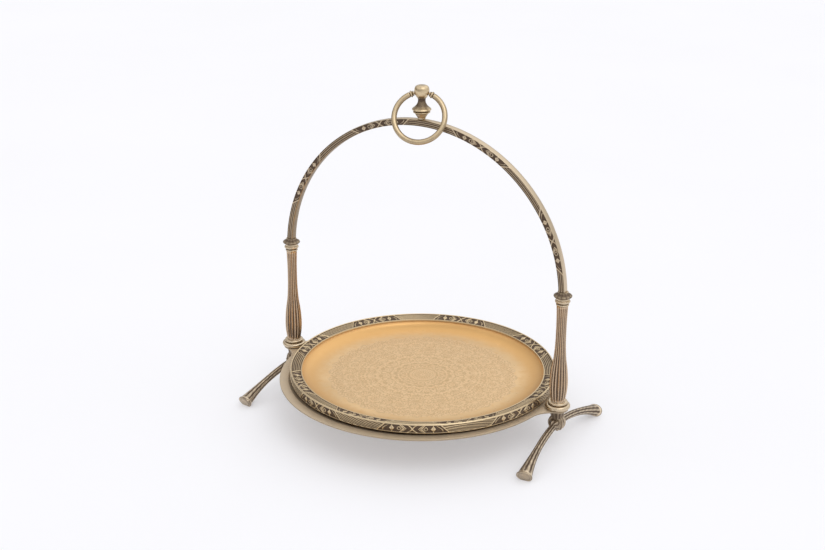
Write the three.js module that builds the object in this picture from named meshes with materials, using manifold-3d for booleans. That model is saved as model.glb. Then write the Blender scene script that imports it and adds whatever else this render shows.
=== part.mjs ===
// Serving tray on a footed brass stand with an arched carrying handle.
// Millimetres, +Z up, the arch lies in the XZ plane, the front is -Y,
// and the origin is on the table under the middle of the plate.
import * as THREE from "three";
import { mergeVertices } from "three/addons/utils/BufferGeometryUtils.js";
import Module from "manifold-3d";

// Clearances
const SEAT_GAP = 0.3;           // between two pieces that touch
const HOLE_GAP = 0.3;           // all round a screw, stud or axle in its hole

// Stand: the plate and its ears
const PLATE_MARGIN = 7.6;       // edge of the plate past the ridge of the tray
const PLATE_THICKNESS = 1.5;
const PLATE_TOP = 38.8;         // lip and ears above the table
const PLATE_CHAMFER = 0.4;
const LIP_WIDTH = 8;            // flat lip of the plate
const DISH_RISE = 9;            // width of the slope down from the lip
const DISH_DEPTH = 2;           // flat middle below the lip
const COLUMN_STANDOFF = 10;     // column axis past the edge of the plate
const EAR_RADIUS = 10;          // less than the column's base, which overhangs it
const EAR_FILLET = 24;
const EAR_ROOT = 4;             // how far the ear reaches into the plate

// Feet: one reeded casting under each ear
const FOOT_REACH = 77.3;        // knot to the middle of an end cap, front or back
const FOOT_SPLAY = 5.6;         // end cap further out than the column
const FOOT_CREST = 22.6;        // leg centreline at the knot
const FOOT_END_HEIGHT = 4.5;    // leg centreline at the end cap
const LEG_FALL = 2.5;           // 1 is a straight leg, more keeps it level for longer
const FOOT_TURN = 2.2;          // degrees that each foot stands turned on its screw
const LEG_HALF_WIDTH = 3.4;
const LEG_HALF_DEPTH = 3.7;
const FOOT_CAP_HALF_WIDTH = 7.2;
const FOOT_CAP_HALF_DEPTH = 5.9;
const FOOT_CAP_LENGTH = 2.2;
const FOOT_CAP_RECESS = 0.6;
const LEG_REEDS = 8;
const REED_DEPTH = 0.55;
const KNOT_RISE = 1.4;          // middle of the knot above the legs
const KNOT_HALF_WIDTH = 7;
const KNOT_HALF_LENGTH = 11;
const KNOT_HALF_HEIGHT = 6.2;
const RIBBON_RADIUS = 7.2;      // bound loop, to the middle of the ribbon
const RIBBON_WIDTH = 3.6;
const RIBBON_THICKNESS = 2;
const RIBBON_CROSSING = 34;     // degrees either side of square to the leg
const BOSS_RADIUS = 5.8;

// Fasteners
const SCREW_RADIUS = 2;
const SCREW_HEAD_RADIUS = 3.4;
const SCREW_HEAD_HEIGHT = 2.2;
const SCREW_DRIVE_WIDTH = 1;    // slot across the head
const SCREW_DRIVE_DEPTH = 1.1;
const SCREW_GRIP = 16;          // screw end inside the shaft
const WASHER_RADIUS = 3.9;
const WASHER_THICKNESS = 0.8;
const HEAD_RECESS = 0.8;        // screw head above the knot's underside
const STUD_RADIUS = 1.6;
const STUD_GRIP = 9;            // stud end inside the shaft
const STUD_REACH = 6;           // stud end inside the arch

// Columns
const BASE_TORUS_RADIUS = 11.65;
const BASE_TORUS_HEIGHT = 4.4;
const UPPER_TORUS_RADIUS = 9.2;
const UPPER_TORUS_HEIGHT = 2.8;
const SHAFT_LENGTH = 93.6;
const SHAFT_FOOT_RADIUS = 6.6;
const SHAFT_BELLY_RADIUS = 8.3;
const SHAFT_WAIST_RADIUS = 4.6;
const SHAFT_TOP_RADIUS = 4.9;
const FLUTES = 16;
const FLUTE_DEPTH = 0.75;
const CAPITAL_BEAD_RADIUS = 5.7;
const CAPITAL_RING_RADIUS = 6.8;
const CAPITAL_HEIGHT = 7.2;
const FERRULE_RADIUS = 8.6;
const FERRULE_TOP_RADIUS = 4.9;
const FERRULE_HEIGHT = 5.6;

// Arch handle
const SPRING_BELOW_FERRULE = 9; // arch centre below the top of the ferrules
const BAR_THICKNESS = 6.0;      // across the arch
const BAR_DEPTH = 7.6;          // front to back
const BAR_CROWN = 0.2;
const BAR_BEAD = 0.9;           // raised edges of the moulded face
const BAR_PANEL_RECESS = 0.45;

// Tray
const TRAY_RADIUS = 127.4;      // ridge of the rim
const TRAY_HEIGHT = 12.5;       // underside of the pan to the ridge
const TRAY_SHIFT_X = 2.4;       // the loose tray stands a little off centre
const TRAY_SHIFT_Y = 2.2;
const PAN_THICKNESS = 1.2;
const PAN_FLOOR_RADIUS = 92;
const RIM_WIDTH = 10.9;         // ridge to the inner lip
const RIM_DROP = 2.3;           // inner lip below the ridge
const RIM_SKIRT = 8.8;          // height of the outer band
const RIM_SKIRT_WALL = 3.1;
const RIM_BULGE = 1;            // outer band past the ridge
const RIM_LIP = 1.7;            // thickness of the inner lip

// Finial and ring
const SEAT_STEM_RADIUS = 3.85;
const SEAT_RING_RADIUS = 6.3;
const SEAT_HEIGHT = 5.4;
const KNOB_FLANGE_RADIUS = 8.7;
const KNOB_NECK_RADIUS = 3.05;
const BALL_RADIUS = 7;
const BALL_HALF_HEIGHT = 6.3;
const BALL_ABOVE_FLANGE = 18.9; // ball centre above the underside of the knob
const FINIAL_STUD_RADIUS = 1.4;
const FINIAL_STUD_DEPTH = 4;    // stud end inside the bar
const FINIAL_STUD_REACH = 5;    // stud end inside the knob
const RING_RADIUS = 23.1;       // to the middle of the wire
const RING_WIRE_RADIUS = 2.6;
const RING_END_GAP = 0.9;       // ring ends clear of the ball
const RING_END_RADIUS = 2.1;
const RING_COLLAR_RADIUS = 3.2;
const RING_TURN = 17.5;         // degrees that the knob is screwed round past square
const PIVOT_BELOW_BALL_CENTRE = 1.8;
const AXLE_RADIUS = 1.2;

// Facets
const ROUND_LARGE = 52;
const ROUND_COLUMN = 18;
const ROUND_RIBBON = 16;
const ROUND_SMALL = 10;
const ROUND_WIRE = 8;
const ARCH_STEPS = 32;
const RING_STEPS = 28;
const SHAFT_STEPS = 9;

// Places that follow from the sizes
const PLATE_RADIUS = TRAY_RADIUS + PLATE_MARGIN;
const DISH_RADIUS = PLATE_RADIUS - LIP_WIDTH - DISH_RISE;
const HALF_SPAN = PLATE_RADIUS + COLUMN_STANDOFF;
const DISH_TOP = PLATE_TOP - DISH_DEPTH;
const EAR_UNDERSIDE = PLATE_TOP - PLATE_THICKNESS;
const BASE_BOTTOM = PLATE_TOP + SEAT_GAP;
const BASE_TOP = BASE_BOTTOM + BASE_TORUS_HEIGHT + UPPER_TORUS_HEIGHT + 0.3;
const SHAFT_BOTTOM = BASE_TOP + SEAT_GAP;
const SHAFT_TOP = SHAFT_BOTTOM + SHAFT_LENGTH;
const CAPITAL_BOTTOM = SHAFT_TOP + SEAT_GAP;
const CAPITAL_TOP = CAPITAL_BOTTOM + CAPITAL_HEIGHT;
const FERRULE_BOTTOM = CAPITAL_TOP + SEAT_GAP;
const FERRULE_TOP = FERRULE_BOTTOM + FERRULE_HEIGHT;
const BAR_END = FERRULE_TOP + SEAT_GAP;
const ARCH_CENTRE = FERRULE_TOP - SPRING_BELOW_FERRULE;
const BAR_TOP = ARCH_CENTRE + HALF_SPAN + BAR_THICKNESS / 2 + BAR_CROWN;
const SEAT_BOTTOM = BAR_TOP + SEAT_GAP;
const SEAT_TOP = SEAT_BOTTOM + SEAT_HEIGHT;
const KNOB_BOTTOM = SEAT_TOP + SEAT_GAP;
const BALL_CENTRE = KNOB_BOTTOM + BALL_ABOVE_FLANGE;
const PIVOT_HEIGHT = BALL_CENTRE - PIVOT_BELOW_BALL_CENTRE;
const RING_END = BALL_RADIUS + RING_END_GAP;
const RING_DROP = Math.sqrt(RING_RADIUS ** 2 - RING_END ** 2);
const PAN_BOTTOM = DISH_TOP + SEAT_GAP;
const RIDGE_HEIGHT = PAN_BOTTOM + TRAY_HEIGHT;
const RIM_UNDERSIDE = RIDGE_HEIGHT - RIM_DROP - RIM_LIP;
const PAN_FLANGE_TOP = RIM_UNDERSIDE - SEAT_GAP;
const SKIRT_INNER = TRAY_RADIUS + RIM_BULGE - RIM_SKIRT_WALL;
const KNOT_MIDDLE = FOOT_CREST + KNOT_RISE;
const KNOT_UNDERSIDE = KNOT_MIDDLE - KNOT_HALF_HEIGHT;
const HEAD_BOTTOM = KNOT_UNDERSIDE + HEAD_RECESS;
const HEAD_TOP = HEAD_BOTTOM + SCREW_HEAD_HEIGHT;
const WASHER_BOTTOM = HEAD_TOP + SEAT_GAP;
const RECESS_TOP = WASHER_BOTTOM + WASHER_THICKNESS + SEAT_GAP;

// Materials
const agedBrass = { color: 0x7a6a4c, roughness: 0.42, metalness: 0.9 };
const columnBrass = { color: 0x84705a, roughness: 0.4, metalness: 0.9 };
const satinBrass = { color: 0xb9aa84, roughness: 0.36, metalness: 0.9 };
const goldBrass = { color: 0xd2ae6c, roughness: 0.33, metalness: 0.9 };
const brightBrass = { color: 0xa8925a, roughness: 0.3, metalness: 0.95 };
const steel = { color: 0x8d8f92, roughness: 0.4, metalness: 0.9 };

const wasm = await Module();
wasm.setup();

// Join the shared corners of a geometry and make it a solid that faces outwards.
function toSolid(geometry) {
  const bare = geometry.index ? geometry.toNonIndexed() : geometry.clone();
  bare.deleteAttribute("normal");
  bare.deleteAttribute("uv");
  const merged = mergeVertices(bare, 1e-4);
  const place = merged.attributes.position;
  const corner = (i) => new THREE.Vector3().fromBufferAttribute(place, i);
  const kept = [];
  let volume = 0;
  for (let i = 0; i < merged.index.count; i += 3) {
    const [a, b, c] = [0, 1, 2].map((k) => merged.index.getX(i + k));
    if (a === b || b === c || c === a) continue;
    kept.push([a, b, c]);
    volume += corner(a).dot(corner(b).cross(corner(c)));
  }
  const triangles = kept.flatMap(([a, b, c]) => (volume > 0 ? [a, b, c] : [a, c, b]));
  return new wasm.Manifold(new wasm.Mesh({
    numProp: 3,
    vertProperties: new Float32Array(place.array),
    triVerts: new Uint32Array(triangles),
  }));
}

function toGeometry(solid) {
  const mesh = solid.getMesh();
  const geometry = new THREE.BufferGeometry();
  geometry.setAttribute("position", new THREE.BufferAttribute(new Float32Array(mesh.vertProperties), 3));
  geometry.setIndex(new THREE.BufferAttribute(new Uint32Array(mesh.triVerts), 1));
  geometry.computeVertexNormals();
  return geometry;
}

const joined = (...solids) => solids.reduce((sum, solid) => sum.add(solid));
const pierced = (solid, ...tools) => tools.reduce((left, tool) => left.subtract(tool), solid);

// A turned piece: the outline is a list of [radius, height] that starts and ends
// on the axis, or runs round to its own start.
function turned(outline, segments) {
  const points = outline.map(([radius, height]) => new THREE.Vector2(radius, height));
  return toSolid(new THREE.LatheGeometry(points, segments).rotateX(Math.PI / 2));
}

const hoop = (outline, segments) => turned([...outline, outline[0]], segments);

function rod(radius, bottom, top, segments = ROUND_SMALL) {
  return turned([[0, bottom], [radius, bottom], [radius, top], [0, top]], segments);
}

// A skin through rings of equally many points, closed by a fan at each end.
function lofted(rings) {
  const count = rings[0].length;
  const points = rings.flat();
  const index = [];
  for (let ring = 0; ring < rings.length - 1; ring++) {
    for (let k = 0; k < count; k++) {
      const [a, b] = [ring * count + k, ring * count + (k + 1) % count];
      index.push(a, b, b + count, a, b + count, a + count);
    }
  }
  const middle = (ring) => ring.reduce((sum, p) => sum.add(p), new THREE.Vector3()).divideScalar(count);
  const last = (rings.length - 1) * count;
  const [first, end] = [points.length, points.length + 1];
  points.push(middle(rings[0]), middle(rings.at(-1)));
  for (let k = 0; k < count; k++) {
    const next = (k + 1) % count;
    index.push(first, next, k, end, last + k, last + next);
  }
  const geometry = new THREE.BufferGeometry().setFromPoints(points);
  geometry.setIndex(index);
  return toSolid(geometry);
}

// Points round a half circle bead, from below to above, bulging away from the axis.
function bead(radius, bottom, height, depth = height / 2, steps = 4) {
  return Array.from({ length: steps + 1 }, (_, k) => {
    const angle = Math.PI * (k / steps - 0.5);
    return [radius - depth + depth * Math.cos(angle), bottom + height / 2 * (1 + Math.sin(angle))];
  });
}

const onAxis = (curve, steps) => curve.getPoints(steps).map((p) => [p.x, p.y]);
const arc = (from, bend, to, steps) => onAxis(new THREE.QuadraticBezierCurve(
  new THREE.Vector2(...from), new THREE.Vector2(...bend), new THREE.Vector2(...to)), steps);

// The plate is a shallow dish with a flat lip and an ear at each column.
function basePlate() {
  const rise = [DISH_RADIUS + DISH_RISE, PLATE_TOP];
  const top = arc([DISH_RADIUS, DISH_TOP], [DISH_RADIUS + DISH_RISE / 2, DISH_TOP + DISH_DEPTH / 2], rise, 2);
  const under = top.map(([radius, height]) => [radius, height - PLATE_THICKNESS]).reverse();
  const dish = turned([
    [0, DISH_TOP], ...top,
    [PLATE_RADIUS - PLATE_CHAMFER, PLATE_TOP], [PLATE_RADIUS, PLATE_TOP - PLATE_CHAMFER],
    [PLATE_RADIUS, EAR_UNDERSIDE + PLATE_CHAMFER], [PLATE_RADIUS - PLATE_CHAMFER, EAR_UNDERSIDE],
    ...under, [0, DISH_TOP - PLATE_THICKNESS],
  ], ROUND_LARGE);
  const hole = rod(SCREW_RADIUS + HOLE_GAP, DISH_TOP - PLATE_THICKNESS, PLATE_TOP + 1);
  const ears = [0, Math.PI].map((turn) => toSolid(earGeometry().rotateZ(turn)));
  const holes = [-1, 1].map((side) => hole.translate([side * HALF_SPAN, 0, 0]));
  return pierced(joined(dish, ...ears), ...holes);
}

// One ear: a round end blended into the plate's edge by a fillet on each side.
function earGeometry() {
  const reach = PLATE_RADIUS + EAR_FILLET;
  const toEar = EAR_RADIUS + EAR_FILLET;
  const atPlate = Math.acos((reach ** 2 + HALF_SPAN ** 2 - toEar ** 2) / (2 * reach * HALF_SPAN));
  const middle = [reach * Math.cos(atPlate), reach * Math.sin(atPlate)];
  const atEar = Math.atan2(middle[1], middle[0] - HALF_SPAN);
  const edge = [PLATE_RADIUS * Math.cos(atPlate), PLATE_RADIUS * Math.sin(atPlate)];
  const shape = new THREE.Shape();
  shape.moveTo(edge[0] - EAR_ROOT, -edge[1]);
  shape.lineTo(edge[0], -edge[1]);
  shape.absarc(middle[0], -middle[1], EAR_FILLET, Math.PI - atPlate, Math.PI - atEar, true);
  shape.absarc(HALF_SPAN, 0, EAR_RADIUS, -atEar, atEar, false);
  shape.absarc(middle[0], middle[1], EAR_FILLET, Math.PI + atEar, Math.PI + atPlate, true);
  shape.lineTo(edge[0] - EAR_ROOT, edge[1]);
  const geometry = new THREE.ExtrudeGeometry(shape, {
    depth: PLATE_THICKNESS - 2 * PLATE_CHAMFER,
    bevelSize: PLATE_CHAMFER,
    bevelOffset: -PLATE_CHAMFER,
    bevelThickness: PLATE_CHAMFER,
    bevelSegments: 1,
    curveSegments: 7,
  });
  return geometry.translate(0, 0, EAR_UNDERSIDE + PLATE_CHAMFER);
}

// Leg centreline: level at the knot, falling ever more steeply to the end cap.
function legPoint(share) {
  const fall = (FOOT_CREST - FOOT_END_HEIGHT) * Math.abs(share) ** LEG_FALL;
  return new THREE.Vector3(FOOT_SPLAY * Math.abs(share) ** 1.5, FOOT_REACH * share, FOOT_CREST - fall);
}

// A ring of reeds square to the leg.
function reedRing(share, halfWidth, halfDepth, along = 0, reedDepth = REED_DEPTH) {
  const step = 0.01 * Math.sign(share || 1);
  const [a, b] = share < 0 ? [share, share - step] : [share - step, share];
  const ahead = legPoint(b).sub(legPoint(a)).normalize();
  const side = new THREE.Vector3(0, 0, 1).cross(ahead).normalize().negate();
  const up = side.clone().cross(ahead);
  const centre = legPoint(share).addScaledVector(ahead, along * Math.sign(share));
  return Array.from({ length: LEG_REEDS * 2 }, (_, k) => {
    const angle = (k / LEG_REEDS) * Math.PI;
    const sunk = k % 2 === 0 ? reedDepth : 0;
    return centre.clone()
      .addScaledVector(side, (halfWidth - sunk) * Math.cos(angle))
      .addScaledVector(up, (halfDepth - sunk) * Math.sin(angle));
  });
}

// Both legs of a foot in one loft, each flaring to an oval cap with a sunk face.
function legs() {
  const shares = [0.3, 0.5, 0.67, 0.82, 0.93];
  const flare = (share) => THREE.MathUtils.smoothstep(share, 0.55, 1) ** 1.3;
  const width = (share) => THREE.MathUtils.lerp(LEG_HALF_WIDTH, FOOT_CAP_HALF_WIDTH - 0.5, flare(share));
  const depth = (share) => THREE.MathUtils.lerp(LEG_HALF_DEPTH, FOOT_CAP_HALF_DEPTH - 0.5, flare(share));
  const leg = (sign) => shares.map((share) => reedRing(sign * share, width(share), depth(share)));
  const cap = (sign) => [
    [FOOT_CAP_HALF_WIDTH, FOOT_CAP_HALF_DEPTH, -FOOT_CAP_LENGTH],
    [FOOT_CAP_HALF_WIDTH, FOOT_CAP_HALF_DEPTH, 0],
    [FOOT_CAP_HALF_WIDTH - 1.3, FOOT_CAP_HALF_DEPTH - 1.3, 0],
    [FOOT_CAP_HALF_WIDTH - 1.6, FOOT_CAP_HALF_DEPTH - 1.6, -FOOT_CAP_RECESS],
  ].map(([halfWidth, halfDepth, along]) => reedRing(sign, halfWidth, halfDepth, along, 0));
  return lofted([
    ...cap(-1).reverse(), ...leg(-1).reverse(), reedRing(0, LEG_HALF_WIDTH, LEG_HALF_DEPTH),
    ...leg(1), ...cap(1),
  ]);
}

// The knot: a swelling where the reeds meet, bound by two ribbons that cross.
function knot() {
  const ball = new THREE.SphereGeometry(1, 16, 6);
  ball.scale(KNOT_HALF_WIDTH, KNOT_HALF_LENGTH, KNOT_HALF_HEIGHT).translate(0, 0, KNOT_MIDDLE);
  const band = bead(RIBBON_RADIUS + RIBBON_THICKNESS / 2, -RIBBON_WIDTH / 2, RIBBON_WIDTH, 0.9, 2);
  const inner = RIBBON_RADIUS - RIBBON_THICKNESS / 2;
  const outline = [[inner, -RIBBON_WIDTH / 2], ...band, [inner, RIBBON_WIDTH / 2]];
  const flatten = KNOT_HALF_HEIGHT / (RIBBON_RADIUS - RIBBON_THICKNESS / 2);
  const ribbons = [-1, 1].map((side) => hoop(outline, ROUND_RIBBON)
    .rotate([90, 0, 0]).scale([1, 1, flatten * 0.98]).rotate([0, 0, side * RIBBON_CROSSING])
    .translate([0, 0, KNOT_MIDDLE]));
  return joined(toSolid(ball), ...ribbons);
}

// A foot stands at x = 0 here, with its end caps splayed towards +X.
function foot() {
  const table = new THREE.BoxGeometry(4 * FOOT_CAP_HALF_WIDTH + 2 * FOOT_SPLAY, 4 * FOOT_REACH, FOOT_CREST);
  table.translate(0, 0, -FOOT_CREST / 2);
  const boss = rod(BOSS_RADIUS, KNOT_MIDDLE, EAR_UNDERSIDE - SEAT_GAP, ROUND_COLUMN);
  return pierced(
    joined(legs(), knot(), boss),
    toSolid(table),
    rod(SCREW_RADIUS + HOLE_GAP, KNOT_UNDERSIDE - RIBBON_THICKNESS, EAR_UNDERSIDE + 1),
    rod(WASHER_RADIUS + HOLE_GAP, KNOT_UNDERSIDE - 2 * RIBBON_THICKNESS, RECESS_TOP, ROUND_COLUMN),
  );
}

function washer() {
  const ring = rod(WASHER_RADIUS, WASHER_BOTTOM, WASHER_BOTTOM + WASHER_THICKNESS, ROUND_COLUMN);
  return pierced(ring, rod(SCREW_RADIUS + HOLE_GAP, WASHER_BOTTOM - 1, RECESS_TOP));
}

// Slotted screw that clamps foot, ear and column base to the shaft.
function screw() {
  const shank = rod(SCREW_RADIUS, HEAD_TOP, SHAFT_BOTTOM + SCREW_GRIP);
  const dome = SCREW_HEAD_HEIGHT / 2;
  const head = turned([
    [0, HEAD_BOTTOM], [SCREW_HEAD_RADIUS - dome, HEAD_BOTTOM],
    [SCREW_HEAD_RADIUS, HEAD_BOTTOM + dome], [SCREW_HEAD_RADIUS, HEAD_TOP], [0, HEAD_TOP],
  ], ROUND_COLUMN);
  const slot = new THREE.BoxGeometry(3 * SCREW_HEAD_RADIUS, SCREW_DRIVE_WIDTH, 2 * SCREW_DRIVE_DEPTH);
  return pierced(joined(shank, head), toSolid(slot.translate(0, 0, HEAD_BOTTOM)));
}

function columnBase() {
  const upper = BASE_BOTTOM + BASE_TORUS_HEIGHT;
  const body = turned([
    [0, BASE_BOTTOM],
    ...bead(BASE_TORUS_RADIUS, BASE_BOTTOM, BASE_TORUS_HEIGHT, BASE_TORUS_HEIGHT * 0.45),
    ...bead(UPPER_TORUS_RADIUS, upper, UPPER_TORUS_HEIGHT, UPPER_TORUS_HEIGHT * 0.45, 3),
    [SHAFT_FOOT_RADIUS, upper + UPPER_TORUS_HEIGHT], [SHAFT_FOOT_RADIUS, BASE_TOP], [0, BASE_TOP],
  ], ROUND_COLUMN);
  return pierced(body, rod(SCREW_RADIUS + HOLE_GAP, BASE_BOTTOM - 1, BASE_TOP + 1));
}

// The baluster: a spline from foot to belly to waist to top, cut with flutes.
function columnShaft() {
  const outline = new THREE.SplineCurve([
    [SHAFT_FOOT_RADIUS, 0], [SHAFT_BELLY_RADIUS * 0.96, 0.1], [SHAFT_BELLY_RADIUS, 0.2],
    [SHAFT_BELLY_RADIUS * 0.89, 0.33], [THREE.MathUtils.lerp(SHAFT_WAIST_RADIUS, SHAFT_BELLY_RADIUS, 0.3), 0.46],
    [SHAFT_WAIST_RADIUS * 1.05, 0.6], [SHAFT_WAIST_RADIUS, 0.75], [SHAFT_TOP_RADIUS, 1],
  ].map(([radius, share]) => new THREE.Vector2(radius, share * SHAFT_LENGTH)));
  const ring = (radius, height, sunk) => Array.from({ length: FLUTES * 2 }, (_, k) => {
    const angle = (k / FLUTES) * Math.PI;
    const r = k % 2 === 0 ? radius : radius - sunk;
    return new THREE.Vector3(r * Math.cos(angle), r * Math.sin(angle), height);
  });
  const rings = outline.getPoints(SHAFT_STEPS).map(({ x, y }) => {
    const sunk = FLUTE_DEPTH * THREE.MathUtils.clamp(x / SHAFT_BELLY_RADIUS, 0.5, 1);
    return ring(x, SHAFT_BOTTOM + y, sunk);
  });
  const socket = SCREW_GRIP + 2 * HOLE_GAP;
  return pierced(
    lofted(rings),
    rod(SCREW_RADIUS + HOLE_GAP, SHAFT_BOTTOM - 1, SHAFT_BOTTOM + socket),
    rod(STUD_RADIUS + HOLE_GAP, SHAFT_TOP - STUD_GRIP - 2 * HOLE_GAP, SHAFT_TOP + 1),
  );
}

// Turned cap of the column: a bead, a groove and a broad ring.
function capital() {
  const share = CAPITAL_HEIGHT / 8;
  const groove = CAPITAL_BOTTOM + 2 * share;
  const body = turned([
    [0, CAPITAL_BOTTOM], ...bead(CAPITAL_BEAD_RADIUS, CAPITAL_BOTTOM, 2 * share, 0.8, 2),
    [SHAFT_TOP_RADIUS, groove], [SHAFT_TOP_RADIUS, groove + share],
    ...bead(CAPITAL_RING_RADIUS, groove + share, 3 * share, 1.2, 3),
    [CAPITAL_RING_RADIUS - 1.4, CAPITAL_TOP], [0, CAPITAL_TOP],
  ], ROUND_COLUMN);
  return pierced(body, rod(STUD_RADIUS + HOLE_GAP, CAPITAL_BOTTOM - 1, CAPITAL_TOP + 1));
}

// Flared collar that the end of the arch stands on.
function ferrule() {
  const rim = FERRULE_BOTTOM + FERRULE_HEIGHT * 0.24;
  const body = turned([
    [0, FERRULE_BOTTOM], [FERRULE_RADIUS - 2.2, FERRULE_BOTTOM], [FERRULE_RADIUS - 0.3, rim - 0.3],
    [FERRULE_RADIUS, rim], [FERRULE_RADIUS - 0.3, rim + 0.5],
    ...arc([FERRULE_RADIUS - 1.6, rim + 1.3], [FERRULE_TOP_RADIUS + 0.2, rim + 1.8],
      [FERRULE_TOP_RADIUS, FERRULE_TOP], 3),
    [0, FERRULE_TOP],
  ], ROUND_COLUMN);
  return pierced(body, rod(STUD_RADIUS + HOLE_GAP, FERRULE_BOTTOM - 1, FERRULE_TOP + 1));
}

function archStud() {
  return rod(STUD_RADIUS, SHAFT_TOP - STUD_GRIP, BAR_END + STUD_REACH);
}

class ArchCurve extends THREE.Curve {
  getPoint(share, target = new THREE.Vector3()) {
    const angle = Math.PI * share;
    return target.set(HALF_SPAN * Math.cos(angle), 0, ARCH_CENTRE + HALF_SPAN * Math.sin(angle));
  }
}

// Bar section, x towards the front and y out from the arch: crowned outer and inner
// faces, and on front and back a sunk moulded face between two raised edges.
function barSection() {
  const [deep, thick] = [BAR_DEPTH / 2, BAR_THICKNESS / 2];
  const panel = deep - BAR_PANEL_RECESS;
  const quarter = [
    [0, thick + BAR_CROWN], [deep - BAR_BEAD, thick], [deep - 0.2, thick - 0.2],
    [deep, thick - BAR_BEAD / 2], [panel, thick - BAR_BEAD], [deep - 0.1, 0],
  ];
  const mirrored = quarter.slice(1, 5).reverse().map(([x, y]) => [x, -y]);
  const right = [...quarter, ...mirrored, [0, -thick - BAR_CROWN]];
  const left = right.slice(1, -1).reverse().map(([x, y]) => [-x, y]);
  return new THREE.Shape([...right, ...left].map(([x, y]) => new THREE.Vector2(x, y)));
}

function archHandle() {
  const bar = new THREE.ExtrudeGeometry(barSection(), { steps: ARCH_STEPS, extrudePath: new ArchCurve() });
  const below = new THREE.BoxGeometry(4 * HALF_SPAN, 2 * BAR_DEPTH, HALF_SPAN);
  below.translate(0, 0, BAR_END - HALF_SPAN / 2);
  const socket = rod(STUD_RADIUS + HOLE_GAP, BAR_END - 1, BAR_END + STUD_REACH + 2 * HOLE_GAP);
  const sockets = [-1, 1].map((side) => socket.translate([side * HALF_SPAN, 0, 0]));
  const top = rod(FINIAL_STUD_RADIUS + HOLE_GAP, BAR_TOP - FINIAL_STUD_DEPTH - 2 * HOLE_GAP, BAR_TOP + 1);
  return pierced(toSolid(bar), toSolid(below), ...sockets, top);
}

function finialSeat() {
  const ring = SEAT_TOP - SEAT_HEIGHT * 0.28;
  const body = turned([
    [0, SEAT_BOTTOM], [SEAT_STEM_RADIUS, SEAT_BOTTOM],
    ...arc([SEAT_STEM_RADIUS, SEAT_BOTTOM + 0.8], [SEAT_STEM_RADIUS + 0.8, ring - 0.8],
      [SEAT_RING_RADIUS - 0.4, ring], 3),
    [SEAT_RING_RADIUS, ring + 0.4], [SEAT_RING_RADIUS - 0.2, SEAT_TOP - 0.3],
    [SEAT_RING_RADIUS - 1, SEAT_TOP], [0, SEAT_TOP],
  ], ROUND_COLUMN);
  return pierced(body, rod(FINIAL_STUD_RADIUS + HOLE_GAP, SEAT_BOTTOM - 1, SEAT_TOP + 1));
}

// Knob: a thin flange, a waisted neck and a ball drilled across for the axle.
function finialKnob() {
  const top = Array.from({ length: 7 }, (_, k) => {
    const angle = Math.PI * (-0.3 + 0.78 * (k / 6));
    return [BALL_RADIUS * Math.cos(angle), BALL_CENTRE + BALL_HALF_HEIGHT * Math.sin(angle)];
  });
  const neck = THREE.MathUtils.lerp(KNOB_BOTTOM, BALL_CENTRE, 0.47);
  const body = turned([
    [0, KNOB_BOTTOM], [KNOB_FLANGE_RADIUS - 2.6, KNOB_BOTTOM], [KNOB_FLANGE_RADIUS - 0.2, KNOB_BOTTOM + 0.9],
    [KNOB_FLANGE_RADIUS, KNOB_BOTTOM + 1.3], [KNOB_FLANGE_RADIUS - 0.6, KNOB_BOTTOM + 1.9],
    ...arc([KNOB_NECK_RADIUS + 1.8, KNOB_BOTTOM + 3.4], [KNOB_NECK_RADIUS, neck - 2.6],
      [KNOB_NECK_RADIUS, neck], 3),
    ...top, [0, top.at(-1)[1]],
  ], ROUND_COLUMN);
  const axle = rod(AXLE_RADIUS + HOLE_GAP, -2 * BALL_RADIUS, 2 * BALL_RADIUS).rotate([0, 90, 0]);
  return pierced(
    body,
    rod(FINIAL_STUD_RADIUS + HOLE_GAP, KNOB_BOTTOM - 1, KNOB_BOTTOM + FINIAL_STUD_REACH + 2 * HOLE_GAP),
    axle.translate([0, 0, PIVOT_HEIGHT]),
  );
}

function finialStud() {
  return rod(FINIAL_STUD_RADIUS, BAR_TOP - FINIAL_STUD_DEPTH, KNOB_BOTTOM + FINIAL_STUD_REACH);
}

// Ring hanging from a pivot axis along X at the origin, with a collar near each end.
function ringPull() {
  const open = Math.asin(RING_END / RING_RADIUS);
  const collar = open + (RING_COLLAR_RADIUS * 0.95) / RING_RADIUS;
  const half = 0.45 / RING_RADIUS;
  const near = [
    [open, RING_END_RADIUS], [collar - 2.6 * half, RING_END_RADIUS + 0.1],
    [collar - 2 * half, RING_COLLAR_RADIUS], [collar, RING_COLLAR_RADIUS],
    [collar + half, RING_WIRE_RADIUS], [collar + 3 * half, RING_WIRE_RADIUS],
  ];
  const from = near.at(-1)[0];
  const run = Array.from({ length: RING_STEPS - 1 }, (_, k) => [
    THREE.MathUtils.lerp(from, 2 * Math.PI - from, (k + 1) / RING_STEPS), RING_WIRE_RADIUS]);
  const far = near.map(([angle, radius]) => [2 * Math.PI - angle, radius]).reverse();
  const rings = [...near, ...run, ...far].map(([angle, radius]) => {
    const outward = new THREE.Vector3(Math.sin(angle), 0, Math.cos(angle));
    return Array.from({ length: ROUND_WIRE }, (_, k) => {
      const turn = (k / ROUND_WIRE) * 2 * Math.PI;
      return outward.clone().multiplyScalar(RING_RADIUS + radius * Math.cos(turn))
        .add(new THREE.Vector3(0, radius * Math.sin(turn), -RING_DROP));
    });
  });
  const hole = rod(AXLE_RADIUS + HOLE_GAP, -RING_RADIUS, RING_RADIUS).rotate([0, 90, 0]);
  const reach = new THREE.BoxGeometry(2 * axleEnd() + 2 * HOLE_GAP, 4 * AXLE_RADIUS, 4 * AXLE_RADIUS);
  return pierced(lofted(rings), hole.intersect(toSolid(reach)));
}

const axleEnd = () => RING_END + RING_WIRE_RADIUS;

function ringAxle() {
  return rod(AXLE_RADIUS, -axleEnd(), axleEnd()).rotate([0, 90, 0]);
}

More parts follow.
